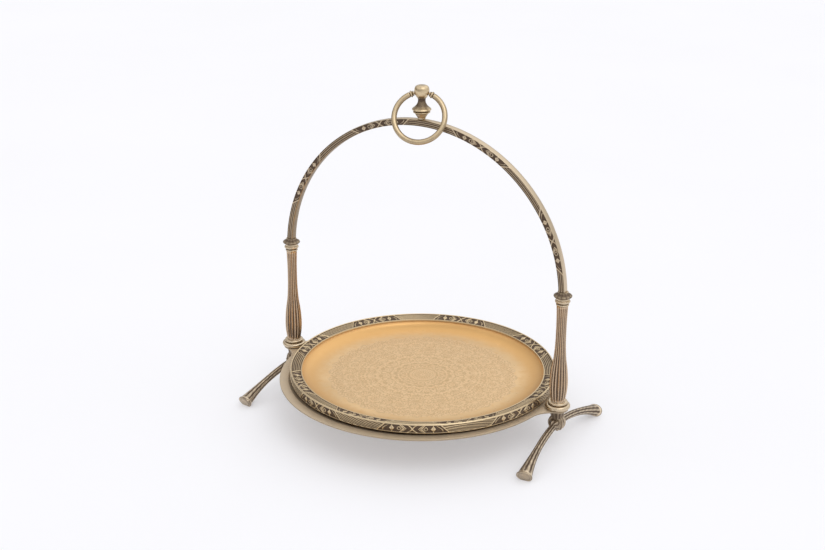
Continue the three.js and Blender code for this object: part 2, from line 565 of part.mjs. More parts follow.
// How far the ring leans out before its wire meets the front of the bar.
function ringLean() {
  const turn = THREE.MathUtils.degToRad(RING_TURN);
  const clear = RING_WIRE_RADIUS + SEAT_GAP;
  for (let degrees = 0; degrees < 90; degrees += 0.25) {
    const lean = THREE.MathUtils.degToRad(degrees);
    let nearest = Infinity;
    for (let angle = 0; angle < 360; angle += 2) {
      const along = THREE.MathUtils.degToRad(angle);
      const drop = RING_DROP - RING_RADIUS * Math.cos(along);
      const side = RING_RADIUS * Math.sin(along);
      const x = side * Math.cos(turn) + drop * Math.sin(lean) * Math.sin(turn);
      const y = side * Math.sin(turn) - drop * Math.sin(lean) * Math.cos(turn);
      const z = PIVOT_HEIGHT - drop * Math.cos(lean);
      const high = Math.hypot(x, z - ARCH_CENTRE) - HALF_SPAN;
      const outside = Math.max(0, Math.abs(high) - BAR_THICKNESS / 2 - BAR_CROWN);
      const before = y + BAR_DEPTH / 2;
      nearest = Math.min(nearest, before < 0 ? Math.hypot(before, outside) : outside);
    }
    if (nearest >= clear) return lean;
  }
  return Math.PI / 2;
}

// Pan: a flat floor, a wall that curves up and a flange under the rim.
function trayPan() {
  const floor = PAN_BOTTOM + PAN_THICKNESS;
  const wall = TRAY_RADIUS - RIM_WIDTH + 0.5;
  const low = PAN_FLANGE_TOP - PAN_THICKNESS;
  const inside = arc([PAN_FLOOR_RADIUS, floor], [wall - 4, floor], [wall, PAN_FLANGE_TOP - 0.4], 5);
  const outside = arc([wall + PAN_THICKNESS, low], [wall - 3.4, PAN_BOTTOM], [PAN_FLOOR_RADIUS, PAN_BOTTOM], 3);
  const flange = SKIRT_INNER - HOLE_GAP;
  return turned([
    [0, floor], ...inside, [wall + 0.5, PAN_FLANGE_TOP], [flange, PAN_FLANGE_TOP], [flange, low],
    ...outside, [0, PAN_BOTTOM],
  ], ROUND_LARGE).translate([TRAY_SHIFT_X, TRAY_SHIFT_Y, 0]);
}

// Rim: a sloping inner band and an upright outer band that meet in a ridge.
function trayRim() {
  const inner = TRAY_RADIUS - RIM_WIDTH;
  const [ridge, foot] = [RIDGE_HEIGHT, RIDGE_HEIGHT - RIM_SKIRT];
  const lip = ridge - RIM_DROP;
  return hoop([
    [inner, RIM_UNDERSIDE], [inner, lip - 0.3], [inner + 0.4, lip], [inner + 1.2, lip - 0.3],
    [inner + RIM_WIDTH / 2, lip + RIM_DROP * 0.42], [TRAY_RADIUS - 1.2, ridge - 0.8],
    [TRAY_RADIUS - 0.4, ridge], [TRAY_RADIUS + 0.4, ridge - 0.5], [TRAY_RADIUS + RIM_BULGE * 0.4, ridge - 1.3],
    [TRAY_RADIUS + RIM_BULGE, ridge - RIM_SKIRT * 0.5], [TRAY_RADIUS + RIM_BULGE * 0.4, foot + 0.8],
    [TRAY_RADIUS, foot],
    [SKIRT_INNER, foot], [SKIRT_INNER, RIM_UNDERSIDE],
  ], ROUND_LARGE).translate([TRAY_SHIFT_X, TRAY_SHIFT_Y, 0]);
}

const tray = new THREE.Group();

function add(name, solid, finish, parent = tray) {
  const mesh = new THREE.Mesh(toGeometry(solid), new THREE.MeshStandardMaterial(finish));
  mesh.name = name;
  parent.add(mesh);
  return mesh;
}

add("base_plate", basePlate(), satinBrass);
for (const [side, sign] of [["left", -1], ["right", 1]]) {
  const column = new THREE.Group();
  column.position.x = sign * HALF_SPAN;
  column.rotation.z = sign < 0 ? Math.PI : 0;
  tray.add(column);
  const stand = new THREE.Group();
  stand.rotation.z = -THREE.MathUtils.degToRad(FOOT_TURN);
  column.add(stand);
  add(`${side}_foot`, foot(), agedBrass, stand);
  add(`${side}_foot_washer`, washer(), steel, column);
  add(`${side}_foot_screw`, screw(), steel, column);
  add(`${side}_column_base`, columnBase(), columnBrass, column);
  add(`${side}_column_shaft`, columnShaft(), columnBrass, column);
  add(`${side}_capital`, capital(), columnBrass, column);
  add(`${side}_ferrule`, ferrule(), agedBrass, column);
  add(`${side}_arch_stud`, archStud(), steel, column);
}
add("arch_handle", archHandle(), agedBrass);
add("tray_pan", trayPan(), goldBrass);
add("tray_rim", trayRim(), agedBrass);
add("finial_seat", finialSeat(), brightBrass);
add("finial_stud", finialStud(), steel);

const knob = new THREE.Group();
knob.rotation.z = THREE.MathUtils.degToRad(RING_TURN);
tray.add(knob);
add("finial_knob", finialKnob(), brightBrass, knob);

const swing = new THREE.Group();
swing.position.z = PIVOT_HEIGHT;
swing.rotation.x = -ringLean();
knob.add(swing);
add("ring_pull", ringPull(), brightBrass, swing);
add("ring_axle", ringAxle(), brightBrass, swing);

export default tray;
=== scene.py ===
"""Round brass serving tray on a footed stand with an arched handle and a hanging ring.

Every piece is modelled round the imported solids, in metres, with +Z up and the front at -Y.
Outlines and patterns are written in millimetres and scaled where the mesh is made.
"""

import math

import bmesh
import bpy
import numpy as np
from mathutils import Matrix, Vector


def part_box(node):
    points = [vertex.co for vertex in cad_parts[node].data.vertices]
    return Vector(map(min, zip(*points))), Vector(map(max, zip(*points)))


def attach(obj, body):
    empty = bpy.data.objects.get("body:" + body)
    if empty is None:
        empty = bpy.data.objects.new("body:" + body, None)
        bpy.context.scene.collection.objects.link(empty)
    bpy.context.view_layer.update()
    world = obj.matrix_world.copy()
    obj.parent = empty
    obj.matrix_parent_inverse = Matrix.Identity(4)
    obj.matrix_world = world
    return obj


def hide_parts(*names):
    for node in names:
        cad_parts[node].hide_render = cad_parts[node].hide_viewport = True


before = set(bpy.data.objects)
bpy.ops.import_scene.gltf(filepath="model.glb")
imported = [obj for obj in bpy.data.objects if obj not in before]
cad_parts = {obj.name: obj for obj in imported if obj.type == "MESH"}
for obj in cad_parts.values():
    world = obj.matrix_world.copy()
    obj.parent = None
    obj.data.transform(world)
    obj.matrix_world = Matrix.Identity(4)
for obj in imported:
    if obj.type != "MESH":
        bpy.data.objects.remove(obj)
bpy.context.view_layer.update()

bl_info = {
    "name": "Hanging serving tray",
    "version": (1, 0, 0),
    "blender": (4, 5, 0),
    "location": "View3D > Sidebar > Tray",
    "description": "Models a brass serving tray on a footed stand with an arched handle",
    "category": "Add Mesh",
}

MM = 0.001


def corners(node):
    """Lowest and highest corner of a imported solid, in millimetres."""
    low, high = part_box(node)
    return low / MM, high / MM


def levels(node):
    """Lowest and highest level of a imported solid, in millimetres."""
    return [corner.z for corner in corners(node)]


def tone(*display):
    """A display colour, 0 to 255, as the linear colour that shaders take."""
    shares = (c / 255 for c in display)
    return (*[c / 12.92 if c <= 0.04045 else ((c + 0.055) / 1.055) ** 2.4 for c in shares], 1.0)


# Sizes and colours that a user would change

def length(label, about, default):
    return bpy.props.FloatProperty(
        name=label, description=about, default=default * MM, min=0.0, unit="LENGTH", precision=5)


def count(label, about, default):
    return bpy.props.IntProperty(name=label, description=about, default=default, min=3)


def colour(label, about, *display):
    return bpy.props.FloatVectorProperty(
        name=label, description=about, default=tone(*display), size=4, min=0.0, max=1.0,
        subtype="COLOR")


class TraySizes(bpy.types.PropertyGroup):
    """Sizes of the ornament and of the turned and cast pieces"""

    ridge_radius: length("Ridge radius", "Middle of the tray to the ridge of its rim", 127.4)
    rim_depth: length("Rim relief", "Depth of the cast ornament on the rim", 0.75)
    arch_radius: length("Arch radius", "Middle of the arch to the middle of its bar", 145.0)
    arch_depth: length("Arch relief", "Depth of the ornament on both faces of the arch", 0.6)
    plate_radius: length("Plate radius", "Middle of the plate to its edge between the ears", 135.0)
    flute_depth: length("Flute depth", "Depth of the column's flutes at the belly", 0.85)
    reed_depth: length("Reed depth", "Depth of the grooves between the reeds of a foot", 0.65)
    rim_units: count("Rim units", "Flower and ribbon units round the rim", 8)
    flutes: count("Flutes", "Flutes round a column", 16)
    foot_reeds: count("Foot reeds", "Reeds round the leg of a foot", 8)


class TrayFinishes(bpy.types.PropertyGroup):
    """Colours of the brass: brighter on rubbed edges and tops, partly painted highlight, and darker in
    the hollows, patina and painted shade
    """

    plate: colour("Plate", "Satin brass of the plate", 179, 162, 139)
    pan: colour("Pan", "Warm satin brass of the pan", 240, 204, 153)
    rim: colour("Rim", "Aged brass of the rim", 188, 168, 136)
    arch: colour("Arch", "Aged brass of the arch", 176, 159, 135)
    column: colour("Column", "Brownish aged brass of the columns", 180, 157, 132)
    foot: colour("Foot", "Aged brass of the feet", 194, 178, 156)
    ring: colour("Ring", "Yellow brass of the ring and the ball", 182, 163, 133)
    patina_and_shade: colour("Patina and shade", "Dark deposit and painted shade in the hollows", 86, 68, 53)
    steel: colour("Steel", "Screws, studs and washers", 150, 151, 153)


# Shader maths

def reckoned(operation, swapped=False):
    """An operator of Value: one Math node."""
    def operator(self, other):
        return self.finish.maths(operation, *((other, self) if swapped else (self, other)))
    return operator


class Value:
    """A socket that can be reckoned with like a number."""

    __add__ = __radd__ = reckoned("ADD")
    __mul__ = __rmul__ = reckoned("MULTIPLY")
    __sub__, __rsub__ = reckoned("SUBTRACT"), reckoned("SUBTRACT", swapped=True)
    __truediv__, __pow__ = reckoned("DIVIDE"), reckoned("POWER")

    def __init__(self, finish, socket):
        self.finish = finish
        self.socket = socket

    def held(self):
        """The value kept between 0 and 1."""
        return self.finish.maths("ADD", self, 0.0, clamp=True)

    def hypot(self, other):
        return (self * self + other * other) ** 0.5


class Finish:
    """The nodes of a material or a world under construction."""

    def __init__(self, owner):
        owner.use_nodes = True
        self.owner = owner
        self.tree = owner.node_tree
        self.tree.nodes.clear()

    def node(self, kind, settings=(), inputs=(), output=0):
        """Adds a node, sets it up, fills its sockets and returns one of its outputs."""
        made = self.tree.nodes.new(kind)
        for key, value in dict(settings).items():
            setattr(made, key, value)
        for key, value in dict(inputs).items():
            if isinstance(value, Value):
                self.tree.links.new(value.socket, made.inputs[key])
            else:
                made.inputs[key].default_value = value
        return Value(self, made.outputs[output]) if made.outputs else None

    def ended(self, shader, kind="ShaderNodeOutputMaterial"):
        """Adds the output node and returns the finished material or world."""
        self.node(kind, inputs={"Surface": shader})
        return self.owner

    def metal(self, paint, metallic, roughness, grit, strength, depth):
        """The finished material of a metal with a fine bump, depth millimetres high."""
        bump = self.node("ShaderNodeBump", inputs={
            "Strength": strength, "Distance": depth * MM, "Height": grit})
        return self.ended(self.node("ShaderNodeBsdfPrincipled", inputs={
            "Base Color": paint, "Metallic": metallic, "Roughness": roughness, "Normal": bump}))

    def maths(self, operation, *numbers, clamp=False):
        settings = {"operation": operation, "use_clamp": clamp}
        return self.node("ShaderNodeMath", settings, dict(enumerate(numbers)))

    def mix(self, share, first, second):
        inputs = {0: share, 6: first, 7: second}
        return self.node("ShaderNodeMix", {"data_type": "RGBA"}, inputs, 2)

    def ray(self, kind):
        """1 for a ray of this kind, 0 for any other."""
        return self.node("ShaderNodeLightPath", output=kind)

    def place(self):
        """Object coordinates in metres."""
        return self.node("ShaderNodeTexCoord", output="Object")

    def noise(self, scale, detail=3.0, vector=None):
        inputs = {"Vector": vector or self.place(), "Scale": scale, "Detail": detail}
        return self.node("ShaderNodeTexNoise", inputs=inputs)

    def axes(self, vector):
        """X, Y and Z of a vector."""
        split = self.node("ShaderNodeSeparateXYZ", inputs={0: vector})
        return [Value(self, socket) for socket in split.socket.node.outputs]

    def joined(self, x, y, z=0.0):
        """The vector of X, Y and Z."""
        return self.node("ShaderNodeCombineXYZ", inputs={0: x, 1: y, 2: z})

    def spread(self, value, low, high, bottom=0.0, top=1.0):
        """Maps value from low..high to bottom..top with a soft start and end."""
        inputs = {"Value": value, "From Min": low, "From Max": high, "To Min": bottom, "To Max": top}
        return self.node("ShaderNodeMapRange", {"interpolation_type": "SMOOTHSTEP"}, inputs)

    def relief(self):
        """Written on the mesh: 0 in the ground of the ornament, 1 on its tops."""
        return self.node("ShaderNodeAttribute", {"attribute_name": "relief"}, output="Fac")


def scaled(paint, *factors):
    """Paint with each of its channels multiplied."""
    return (*[min(c * by, 1.0) for c, by in zip(paint, factors)], 1.0)


# Engraving of the pan, in millimetres from its middle
ENGRAVED_RADIUS, SCALLOP, SCALLOPS = 90.5, 1.3, 32
MIRRORS = 32  # sectors in which the strands are mirrored
STRANDS = ((280.0, 0.03), (150.0, 0.02))  # how finely strands meander, half their width
SCROLLS = (  # for each ring its radius, sectors, size of a scroll, arms of a scroll and turn
    (82.0, 16, 8.0, 1, 0.0), (67.0, 16, 6.4, 2, 0.1), (53.0, 8, 9.6, 1, 0.2),
    (36.5, 8, 7.0, 2, 0.0), (21.0, 4, 8.0, 1, 0.0))
SCROLL_LINE = 2.5  # from one line of a scroll to the next
# Radii where the painted shade of the pan's curved wall starts and is full
WALL_SHADE_STARTS, WALL_SHADE_FULL = 92.0, 108.0


def engraving(make, centre):
    """Three masks of the pan: engraved lines, the field that they fill and the wall round it, which
    takes painted shade.
    """
    x, y = (axis / MM - middle for axis, middle in zip(make.axes(make.place())[:2], centre))
    radius, turn = x.hypot(y), make.maths("ARCTAN2", y, x)

    def folded(start, half):
        """X and Y of a point, mirrored from one sector to the next."""
        fold = make.maths("PINGPONG", turn + start + math.pi * 2, half)
        return radius * make.maths("COSINE", fold), radius * make.maths("SINE", fold)

    def strands(scale, half):
        """Meandering lines, the contours of a noise."""
        u, v = folded(0.0, math.pi * 2 / MIRRORS)
        level = make.noise(scale, 1.0, make.joined(u * MM, v * MM)) - 0.5
        return make.spread(make.maths("ABSOLUTE", level), half * 0.5, half * 1.5, 1.0, 0.0)

    def scrolls(far, sectors, size, arms, start):
        """A ring of spirals."""
        half = math.pi / sectors
        u, v = folded(start, half)
        u, v = u - far * math.cos(half / 2), v - far * math.sin(half / 2)
        near = u.hypot(v)
        wave = make.maths("ARCTAN2", v, u) * arms + near * (math.tau / SCROLL_LINE)
        line = make.spread(make.maths("SINE", wave), 0.55, 0.95)
        return line * make.spread(near, size - 2.4, size, 1.0, 0.0)

    layers = [strands(*strand) for strand in STRANDS] + [scrolls(*ring) for ring in SCROLLS]
    lines = layers[0]
    for layer in layers[1:]:
        lines = make.maths("MAXIMUM", lines, layer)
    edge = radius - make.maths("SINE", turn * SCALLOPS) * SCALLOP
    field = make.spread(edge, ENGRAVED_RADIUS - 1, ENGRAVED_RADIUS + 1, 1.0, 0.0)
    return lines * field, field, make.spread(radius, WALL_SHADE_STARTS, WALL_SHADE_FULL)


def brass(name, paints, body, rough, dark, bright, grain=0.25, bare=0.96, spun=False,
          centre=None):
    """Aged brass with its patina in the hollows, worn bright on its edges and finely scratched.

    rough is the roughness of the metal outside the hollows and bare how metallic it is. The patina and
    painted shade end where the relief passes dark, rubbing and painted highlight start at bright, and
    grain is how unevenly they do. A spun piece has turning marks, and one with a centre is engraved
    round it.
    """
    make = Finish(bpy.data.materials.new(name))
    mottle = make.noise(150.0, 5.0)
    fine = make.noise(1400.0, 2.0)
    cloud = make.noise(16.0, 2.0)
    # Low relief takes the patina colour, patina and painted shade in the hollows; high relief is
    # lightened, rubbing and painted highlight on edges and tops.
    relief_level = make.relief() + (mottle - 0.5) * grain + (fine - 0.5) * (grain * 0.9)
    clean_and_lit = make.spread(relief_level, dark - 0.26, dark + 0.14)
    wear_and_light = make.spread(relief_level, bright, bright + 0.3)
    clouded = make.mix(make.spread(cloud, 0.35, 0.65), body, scaled(body, 0.88, 0.88, 0.88))
    stained = make.mix(make.spread(mottle, 0.4, 0.75, 0.0, 0.6), clouded,
                       scaled(body, 0.88, 0.8, 0.68))
    # The lightened colour on the tops is part rubbing and part painted highlight.
    paint = make.mix(wear_and_light * 0.8, make.mix(clean_and_lit, paints.patina_and_shade, stained), scaled(body, 1.55, 1.58, 1.6))
    dirty = 0.45
    metallic = clean_and_lit * (bare - dirty) + dirty
    roughness = (1 - clean_and_lit) * 0.24 + (mottle - 0.5) * 0.2 + (fine - 0.5) * 0.1 + rough
    grit = fine
    if spun:
        x, y, _ = make.axes(make.place())
        track = make.joined(x.hypot(y) * 9.0, x * 0.3, y * 0.3)
        grit = fine * 0.35 + make.noise(260.0, 2.0, track)
    if centre:
        lines, field, wall = engraving(make, centre)
        # The pan's curved wall is painted orange-brown, painted shade for the wall that curves up out
        # of the light.
        paint = make.mix(wall, paint, scaled(body, 0.86, 0.74, 0.55))
        paint = make.mix(field * 0.8, paint, scaled(body, 0.95, 0.98, 1.08))
        paint = make.mix(lines * 0.33, paint, scaled(body, 0.42, 0.4, 0.34))
        roughness = roughness + field * 0.05 + lines * 0.12
        grit = grit * 0.5 - lines * 1.3
    return make.metal(paint, metallic, roughness, grit, 0.25, 0.12)


def steel(name, body):
    """Plain machined steel with faint turning marks."""
    make = Finish(bpy.data.materials.new(name))
    mottle = make.noise(300.0)
    marks = make.noise(2600.0, 1.0)
    paint = make.mix(mottle, body, scaled(body, 0.7, 0.7, 0.7))
    return make.metal(paint, 0.95, 0.3 + (mottle - 0.5) * 0.2, marks, 0.15, 0.1)


# Modelling

def shift(x=0.0, y=0.0, z=0.0):
    """A move by millimetres."""
    return Matrix.Translation((x * MM, y * MM, z * MM))


def spin(angle, axis):
    return Matrix.Rotation(angle, 4, axis)


def whole(bm):
    return bm.verts[:] + bm.edges[:] + bm.faces[:]


def only(kind, parts):
    return [part for part in parts if isinstance(part, kind)]


def chain(bm, points, closed=False):
    """An edge chain through points in millimetres; returns its vertices and edges."""
    verts = [bm.verts.new(Vector(point) * MM) for point in points]
    pairs = list(zip(verts, verts[1:])) + ([(verts[-1], verts[0])] if closed else [])
    return verts + [bm.edges.new(pair) for pair in pairs]


def circle(bm, radius, segments, place, filled=False):
    return bmesh.ops.create_circle(
        bm, radius=radius * MM, segments=segments, matrix=place, cap_ends=filled)["verts"]


def swept(bm, profile, parts, steps, angle, centre=(0, 0, 0), axis=(0, 0, 1)):
    """Spins the profile through one part of the angle and repeats that part round the rest."""
    part = angle / parts
    bmesh.ops.spin(bm, geom=profile, cent=centre, axis=axis, angle=part, steps=steps)
    bmesh.ops.spin(bm, geom=whole(bm), cent=centre, axis=axis,
                   angle=angle - part, steps=parts - 1, use_duplicate=True)


def turned(outline, parts, steps, closed=False):
    """A body spun from (radius, height) points that end on the axis or close on themselves."""
    bm = bmesh.new()
    profile = chain(bm, [(radius, 0, height) for radius, height in outline], closed)
    swept(bm, profile, parts, steps, 2 * math.pi)
    return sound(bm)


def solid(low, wall, high, parts, steps):
    """A body spun from a wall, flat between it and the axis at the levels low and high."""
    return turned([(0, low), *wall, (0, high)], parts, steps)


def sound(bm):
    """Merges doubles and turns every face outwards."""
    bmesh.ops.remove_doubles(bm, verts=bm.verts, dist=1e-7)
    bmesh.ops.recalc_face_normals(bm, faces=bm.faces)
    return bm


def bead(radius, bottom, height, depth, steps):
    """Points round a half round moulding, from below to above."""
    angles = [math.pi * (k / steps - 0.5) for k in range(steps + 1)]
    return [(radius - depth + depth * math.cos(a), bottom + height / 2 * (1 + math.sin(a)))
            for a in angles]


def flowing(points, steps):
    """A Catmull-Rom line through the points, with steps pieces between each two."""
    ends = [points[0], *points, points[-1]]
    line = []
    for a, b, c, d in zip(ends, ends[1:], ends[2:], ends[3:]):
        for k in range(steps):
            t = k / steps
            weights = (-t + 2 * t**2 - t**3, 2 - 5 * t**2 + 3 * t**3, t + 4 * t**2 - 3 * t**3,
                       t**3 - t**2)
            line.append(tuple(sum(w * p[axis] for w, p in zip(weights, (a, b, c, d))) / 2
                              for axis in range(len(a))))
    return [*line, tuple(points[-1])]


def read(mesh, what="co"):
    """Places or normals of the vertices as rows; places in millimetres."""
    rows = np.zeros(len(mesh.vertices) * 3, np.float32)
    mesh.vertices.foreach_get(what, rows)
    return rows.reshape(-1, 3).astype(float) / (MM if what == "co" else 1)


def polar(place):
    """Distance from the upright axis and direction from it."""
    return np.hypot(place[:, 0], place[:, 1]), np.arctan2(place[:, 1], place[:, 0])


def drawn_in(place, share):
    """The places with their distance from the upright axis multiplied by share."""
    moved = place.copy()
    moved[:, :2] *= share[:, None]
    return moved


def standing_out(mesh, rounds, span):
    """How far each vertex stands out: 0 in a hollow, 0.5 on a plane, 1 on an edge."""
    place, normal = read(mesh), read(mesh, "normal")
    ends = np.zeros(len(mesh.edges) * 2, np.int32)
    mesh.edges.foreach_get("vertices", ends)
    a, b = ends.reshape(-1, 2).T
    total = len(place)
    degree = np.maximum(np.bincount(a, minlength=total) + np.bincount(b, minlength=total), 1)
    smooth = place.copy()
    for _ in range(rounds):
        near = [np.bincount(a, smooth[b, k], total) + np.bincount(b, smooth[a, k], total)
                for k in range(3)]
        smooth = (smooth + np.stack(near, 1) / degree[:, None]) / 2
    return np.clip(0.5 + ((place - smooth) * normal).sum(1) / (2 * span), 0, 1)


def mesh_of(name, bm):
    mesh = bpy.data.meshes.new(name)
    bm.to_mesh(mesh)
    bm.free()
    return mesh


def linked(name, data):
    """A new object of the scene."""
    made = bpy.data.objects.new(name, data)
    bpy.context.scene.collection.objects.link(made)
    return made


CREASE = math.radians(35)


def piece(name, shape, material, body, slot, nodes, seat=None, rounds=6, span=0.12):
    """Makes the object, records its relief, which darkens hollows with patina and painted shade and
    lightens edges with rubbing and painted highlight, and gives it its body.

    shape is its bmesh and its carve, None or a function that moves the vertices and says how far each
    is raised, nan where the mesh shows it. rounds and span are the width and height of the edges and
    hollows that the relief lightens and darkens.
    """
    bm, carve = shape
    mesh = mesh_of(name, bm)
    raised = np.nan
    if carve:
        moved, raised = carve(read(mesh))
        mesh.vertices.foreach_set("co", (moved * MM).astype(np.float32).ravel())
    if seat:
        mesh.transform(seat)
    mesh.update()
    # How far each vertex stands out sets patina and painted shade in hollows and rubbing and painted
    # highlight on edges.
    wear_and_light = standing_out(mesh, rounds, span)
    carved = np.clip(0.72 * raised + 0.5 * (wear_and_light - 0.5) + 0.14, 0, 1)
    wear_and_light = np.where(np.isnan(raised), wear_and_light, carved)
    relief = mesh.attributes.new("relief", "FLOAT", "POINT")
    relief.data.foreach_set("value", wear_and_light.astype(np.float32))
    mesh.materials.append(material)
    mesh.shade_smooth()
    mesh.set_sharp_from_angle(angle=CREASE)
    made = linked(name, mesh)
    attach(made, body)
    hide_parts(*nodes)


def soft(distance, edge=0.36):
    """1 inside a shape and 0 outside it, with a sloping edge."""
    x = np.clip(0.5 - distance / (2 * edge), 0, 1)
    return x * x * (3 - 2 * x)


def ribbon_and_flower(along, across, half_width, half_length, lean, spacing, slant):
    """Height, 0 to 1, of the cast reed-and-ribbon ornament.

    along is measured from the crossed ribbons in the middle of a unit, across from the middle of
    the band, in millimetres. Either side of them come a flower, a berry, a bud and a leaf, then a
    slanting ribbon, and beyond it reeds a spacing apart, which fall by slant. The two slanting
    ribbons draw together across the band where lean is 1 and part where it is -1.
    """
    side = np.abs(along)
    share = across / half_width
    fold = np.abs(share)

    run, slant_half = 3.4, 0.55  # how far a slanting ribbon runs along the band, half its width
    beyond = side - half_length + lean * run * share
    slanting = soft(np.abs(beyond) / math.hypot(1, run / half_width) - slant_half)

    cross_run, cross_half = 3.9, 0.5
    reach = math.hypot(cross_run, half_width)
    bend = 0.5 * np.sin(math.pi * share)
    falling = np.abs((along + bend) * half_width - across * cross_run) / reach
    rising = np.abs((along - bend) * half_width + across * cross_run) / reach
    crossed = np.maximum(soft(falling - cross_half), soft(rising - cross_half))

    flower, eye_at, bud_at, leaf_at = 5.0, 11.6, 18.0, 3.7  # the leaf back from the ribbon
    back = side - flower - 4.3 * fold**1.2
    thick = 4.3 - 2.2 * fold
    petals = soft(np.abs(back - thick / 2) - thick / 2) * (0.78 + 0.22 * np.cos(back * 2.9 - 0.4))
    petals *= 1 - 0.55 * soft(fold - 0.02, 0.06) * (back > 0.9)
    eye = soft(np.abs(np.hypot(side - eye_at, across) - 1.45) - 0.38) * 0.8
    bud_width = 0.38 + 2.0 * np.clip(1 - fold / 0.62, 0, 1) ** 0.8
    from_bud = np.abs(side - bud_at)
    bud = soft(from_bud - bud_width) * (1 - 0.4 * soft(from_bud - 0.12, 0.2))
    leaf_width = 0.75 * np.clip(1 - fold**2, 0, 1)
    leaf = soft(np.abs(beyond + leaf_at - 0.8 * np.cos(3 * share)) - leaf_width) * 0.55

    flowers = np.maximum.reduce([crossed, petals, eye, bud, leaf])
    chasing = 0.9 + 0.1 * np.cos(7 * across) * np.cos(5 * along)
    stipple = np.clip(np.sin(5.2 * along + 2 * across) * np.sin(6.1 * across - 1.3 * along), 0, 1)
    flowers = np.maximum(flowers * chasing, 0.2 * stipple)
    reeds = np.abs(np.cos(math.pi * (across + slant * along) / spacing)) ** 2.4
    reeds = (0.02 + 0.66 * reeds) * (beyond > 0.4)
    return np.maximum(np.where(beyond < 0, flowers, reeds), slanting)


# The tray

RIM_LOW, RIM_HIGH = corners("tray_rim")
TRAY_CENTRE = (RIM_LOW + RIM_HIGH) / 2
TRAY_SEAT = shift(TRAY_CENTRE.x, TRAY_CENTRE.y)
RIDGE, SKIRT_FOOT = RIM_HIGH.z, RIM_LOW.z
FIRST_UNIT = math.radians(-129.55)
UNIT_DRIFT = 0.07  # how far the units stray round the rim
UNIT_REACH = 28.0  # from the middle of a unit to its slanting ribbon
BAND_WIDTH = 10.9  # from the inner edge of the rim to its ridge
BAND_ROWS = 26
REED_SPACING, REEDS_CROSSED = 1.6, 15


def rim_piece(sizes, upright):
    """Rim: the upright outer band, or the sloping inner band with the ridge, each a closed body."""
    ridge = sizes.ridge_radius / MM
    inner, lip, under = ridge - BAND_WIDTH, RIDGE - 2.3, RIDGE - 4.0
    if upright:
        first, last, bulge = (ridge + 0.45, RIDGE - 1.1), (ridge + 0.45, SKIRT_FOOT + 0.7), (0.55, 0)
    else:
        first, last, bulge = (inner + 1.3, lip - 0.2), (ridge - 1.1, RIDGE - 0.55), (-0.1, 0.28)
    band = [tuple(a + (b - a) * s + c * 4 * s * (1 - s) for a, b, c in zip(first, last, bulge))
            for s in [k / BAND_ROWS for k in range(BAND_ROWS + 1)]]
    if upright:
        outline = [
            *band, (ridge + 0.5, SKIRT_FOOT + 0.5), (ridge + 0.35, SKIRT_FOOT + 0.12),
            (ridge, SKIRT_FOOT), (ridge - 2.1, SKIRT_FOOT), (ridge - 2.1, under),
            (ridge - 1.2, under), (ridge - 1.2, RIDGE - 1.3)]
    else:
        outline = [
            (inner, under), (inner, lip - 0.55), (inner + 0.2, lip - 0.12), (inner + 0.6, lip),
            (inner + 1.0, lip - 0.1), *band, (ridge - 0.9, RIDGE - 0.25),
            (ridge - 0.55, RIDGE - 0.03), (ridge - 0.15, RIDGE), (ridge + 0.2, RIDGE - 0.25),
            (ridge + 0.4, RIDGE - 0.6), (ridge + 0.45, RIDGE - 1.1), (ridge - 0.6, RIDGE - 1.3),
            (ridge - 0.6, under)]
    bm = turned(outline, 38, 52, closed=True)
    pitch, depth = math.radians(360 / sizes.rim_units), sizes.rim_depth / MM
    middle = [(a + b) / 2 for a, b in zip(first, last)]
    half = abs(last[1] - first[1] if upright else last[0] - first[0]) / 2
    slant = REEDS_CROSSED * REED_SPACING / (pitch * ridge) if upright else 0.0

    def carve(place):
        radius, turn = polar(place)
        phase = turn - UNIT_DRIFT * np.sin(turn) - FIRST_UNIT - (pitch / 2 if upright else 0)
        along = ((phase + pitch / 2) % pitch - pitch / 2) * ridge
        across = place[:, 2] - middle[1] if upright else radius - middle[0]
        on_face = radius > ridge + 0.3 if upright else place[:, 2] > lip - 0.6
        chosen = (np.abs(across) <= half + 0.01) & on_face
        raised = ribbon_and_flower(along, across, half, UNIT_REACH, 1, REED_SPACING, slant)
        fade = np.clip((half - np.abs(across)) / 0.5, 0, 1)
        sink = np.where(chosen, (1 - raised) * depth * fade, 0)
        moved = drawn_in(place, 1 - sink / radius) if upright else place - np.outer(sink, (0, 0, 1))
        return moved, np.where(chosen, raised, np.nan)

    return bm, carve


def tray_pan(sizes):
    """Pan: a flat floor, a wall that curves up and a flange under the rim."""
    low, high = corners("tray_pan")
    bottom, flange_top = low.z, high.z
    thickness, floor_radius = 1.2, 92.0
    floor = bottom + thickness
    wall, flange = sizes.ridge_radius / MM - 10.4, (high.x - low.x) / 2

    def curve(radius, base, top, fullness, shares):
        """Points up the wall, from the floor's edge to a radius and a level."""
        return [(floor_radius + (radius - floor_radius) * (2 * (1 - t) * t * fullness + t * t),
                 base + (top - base) * t * t) for t in shares]

    upper = curve(wall, floor, flange_top - 0.4, 0.84, [k / 26 for k in range(1, 27)])
    under = curve(wall + thickness, bottom, flange_top - thickness, 0.82,
                  [k / 14 for k in range(14, -1, -1)])
    bm = turned([*[(floor_radius * k / 30, floor) for k in range(31)], *upper,
                 (wall + 0.5, flange_top), (flange, flange_top), (flange, flange_top - thickness),
                 *under, (0, bottom)], 20, 18)

    def carve(place):
        # The wall is painted darker as it rises, painted shade, and its top under the rim's lip takes
        # the patina colour, a painted shadow line.
        painted_wall_shade = np.clip((polar(place)[0] - 100) / 14, 0, 1)
        painted_rim_shadow = soft(flange_top - 1.4 - place[:, 2], 0.7)
        return place, 0.86 - 0.5 * painted_wall_shade - 0.7 * painted_rim_shadow

    return bm, carve


# The stand

PLATE_FOOT, PLATE_TOP = levels("base_plate")
PLATE_THICKNESS, LIP_WIDTH = 1.5, 8
EAR, EAR_ROOT, EAR_HOLE = 10.0, 24.0, 2.3  # radii


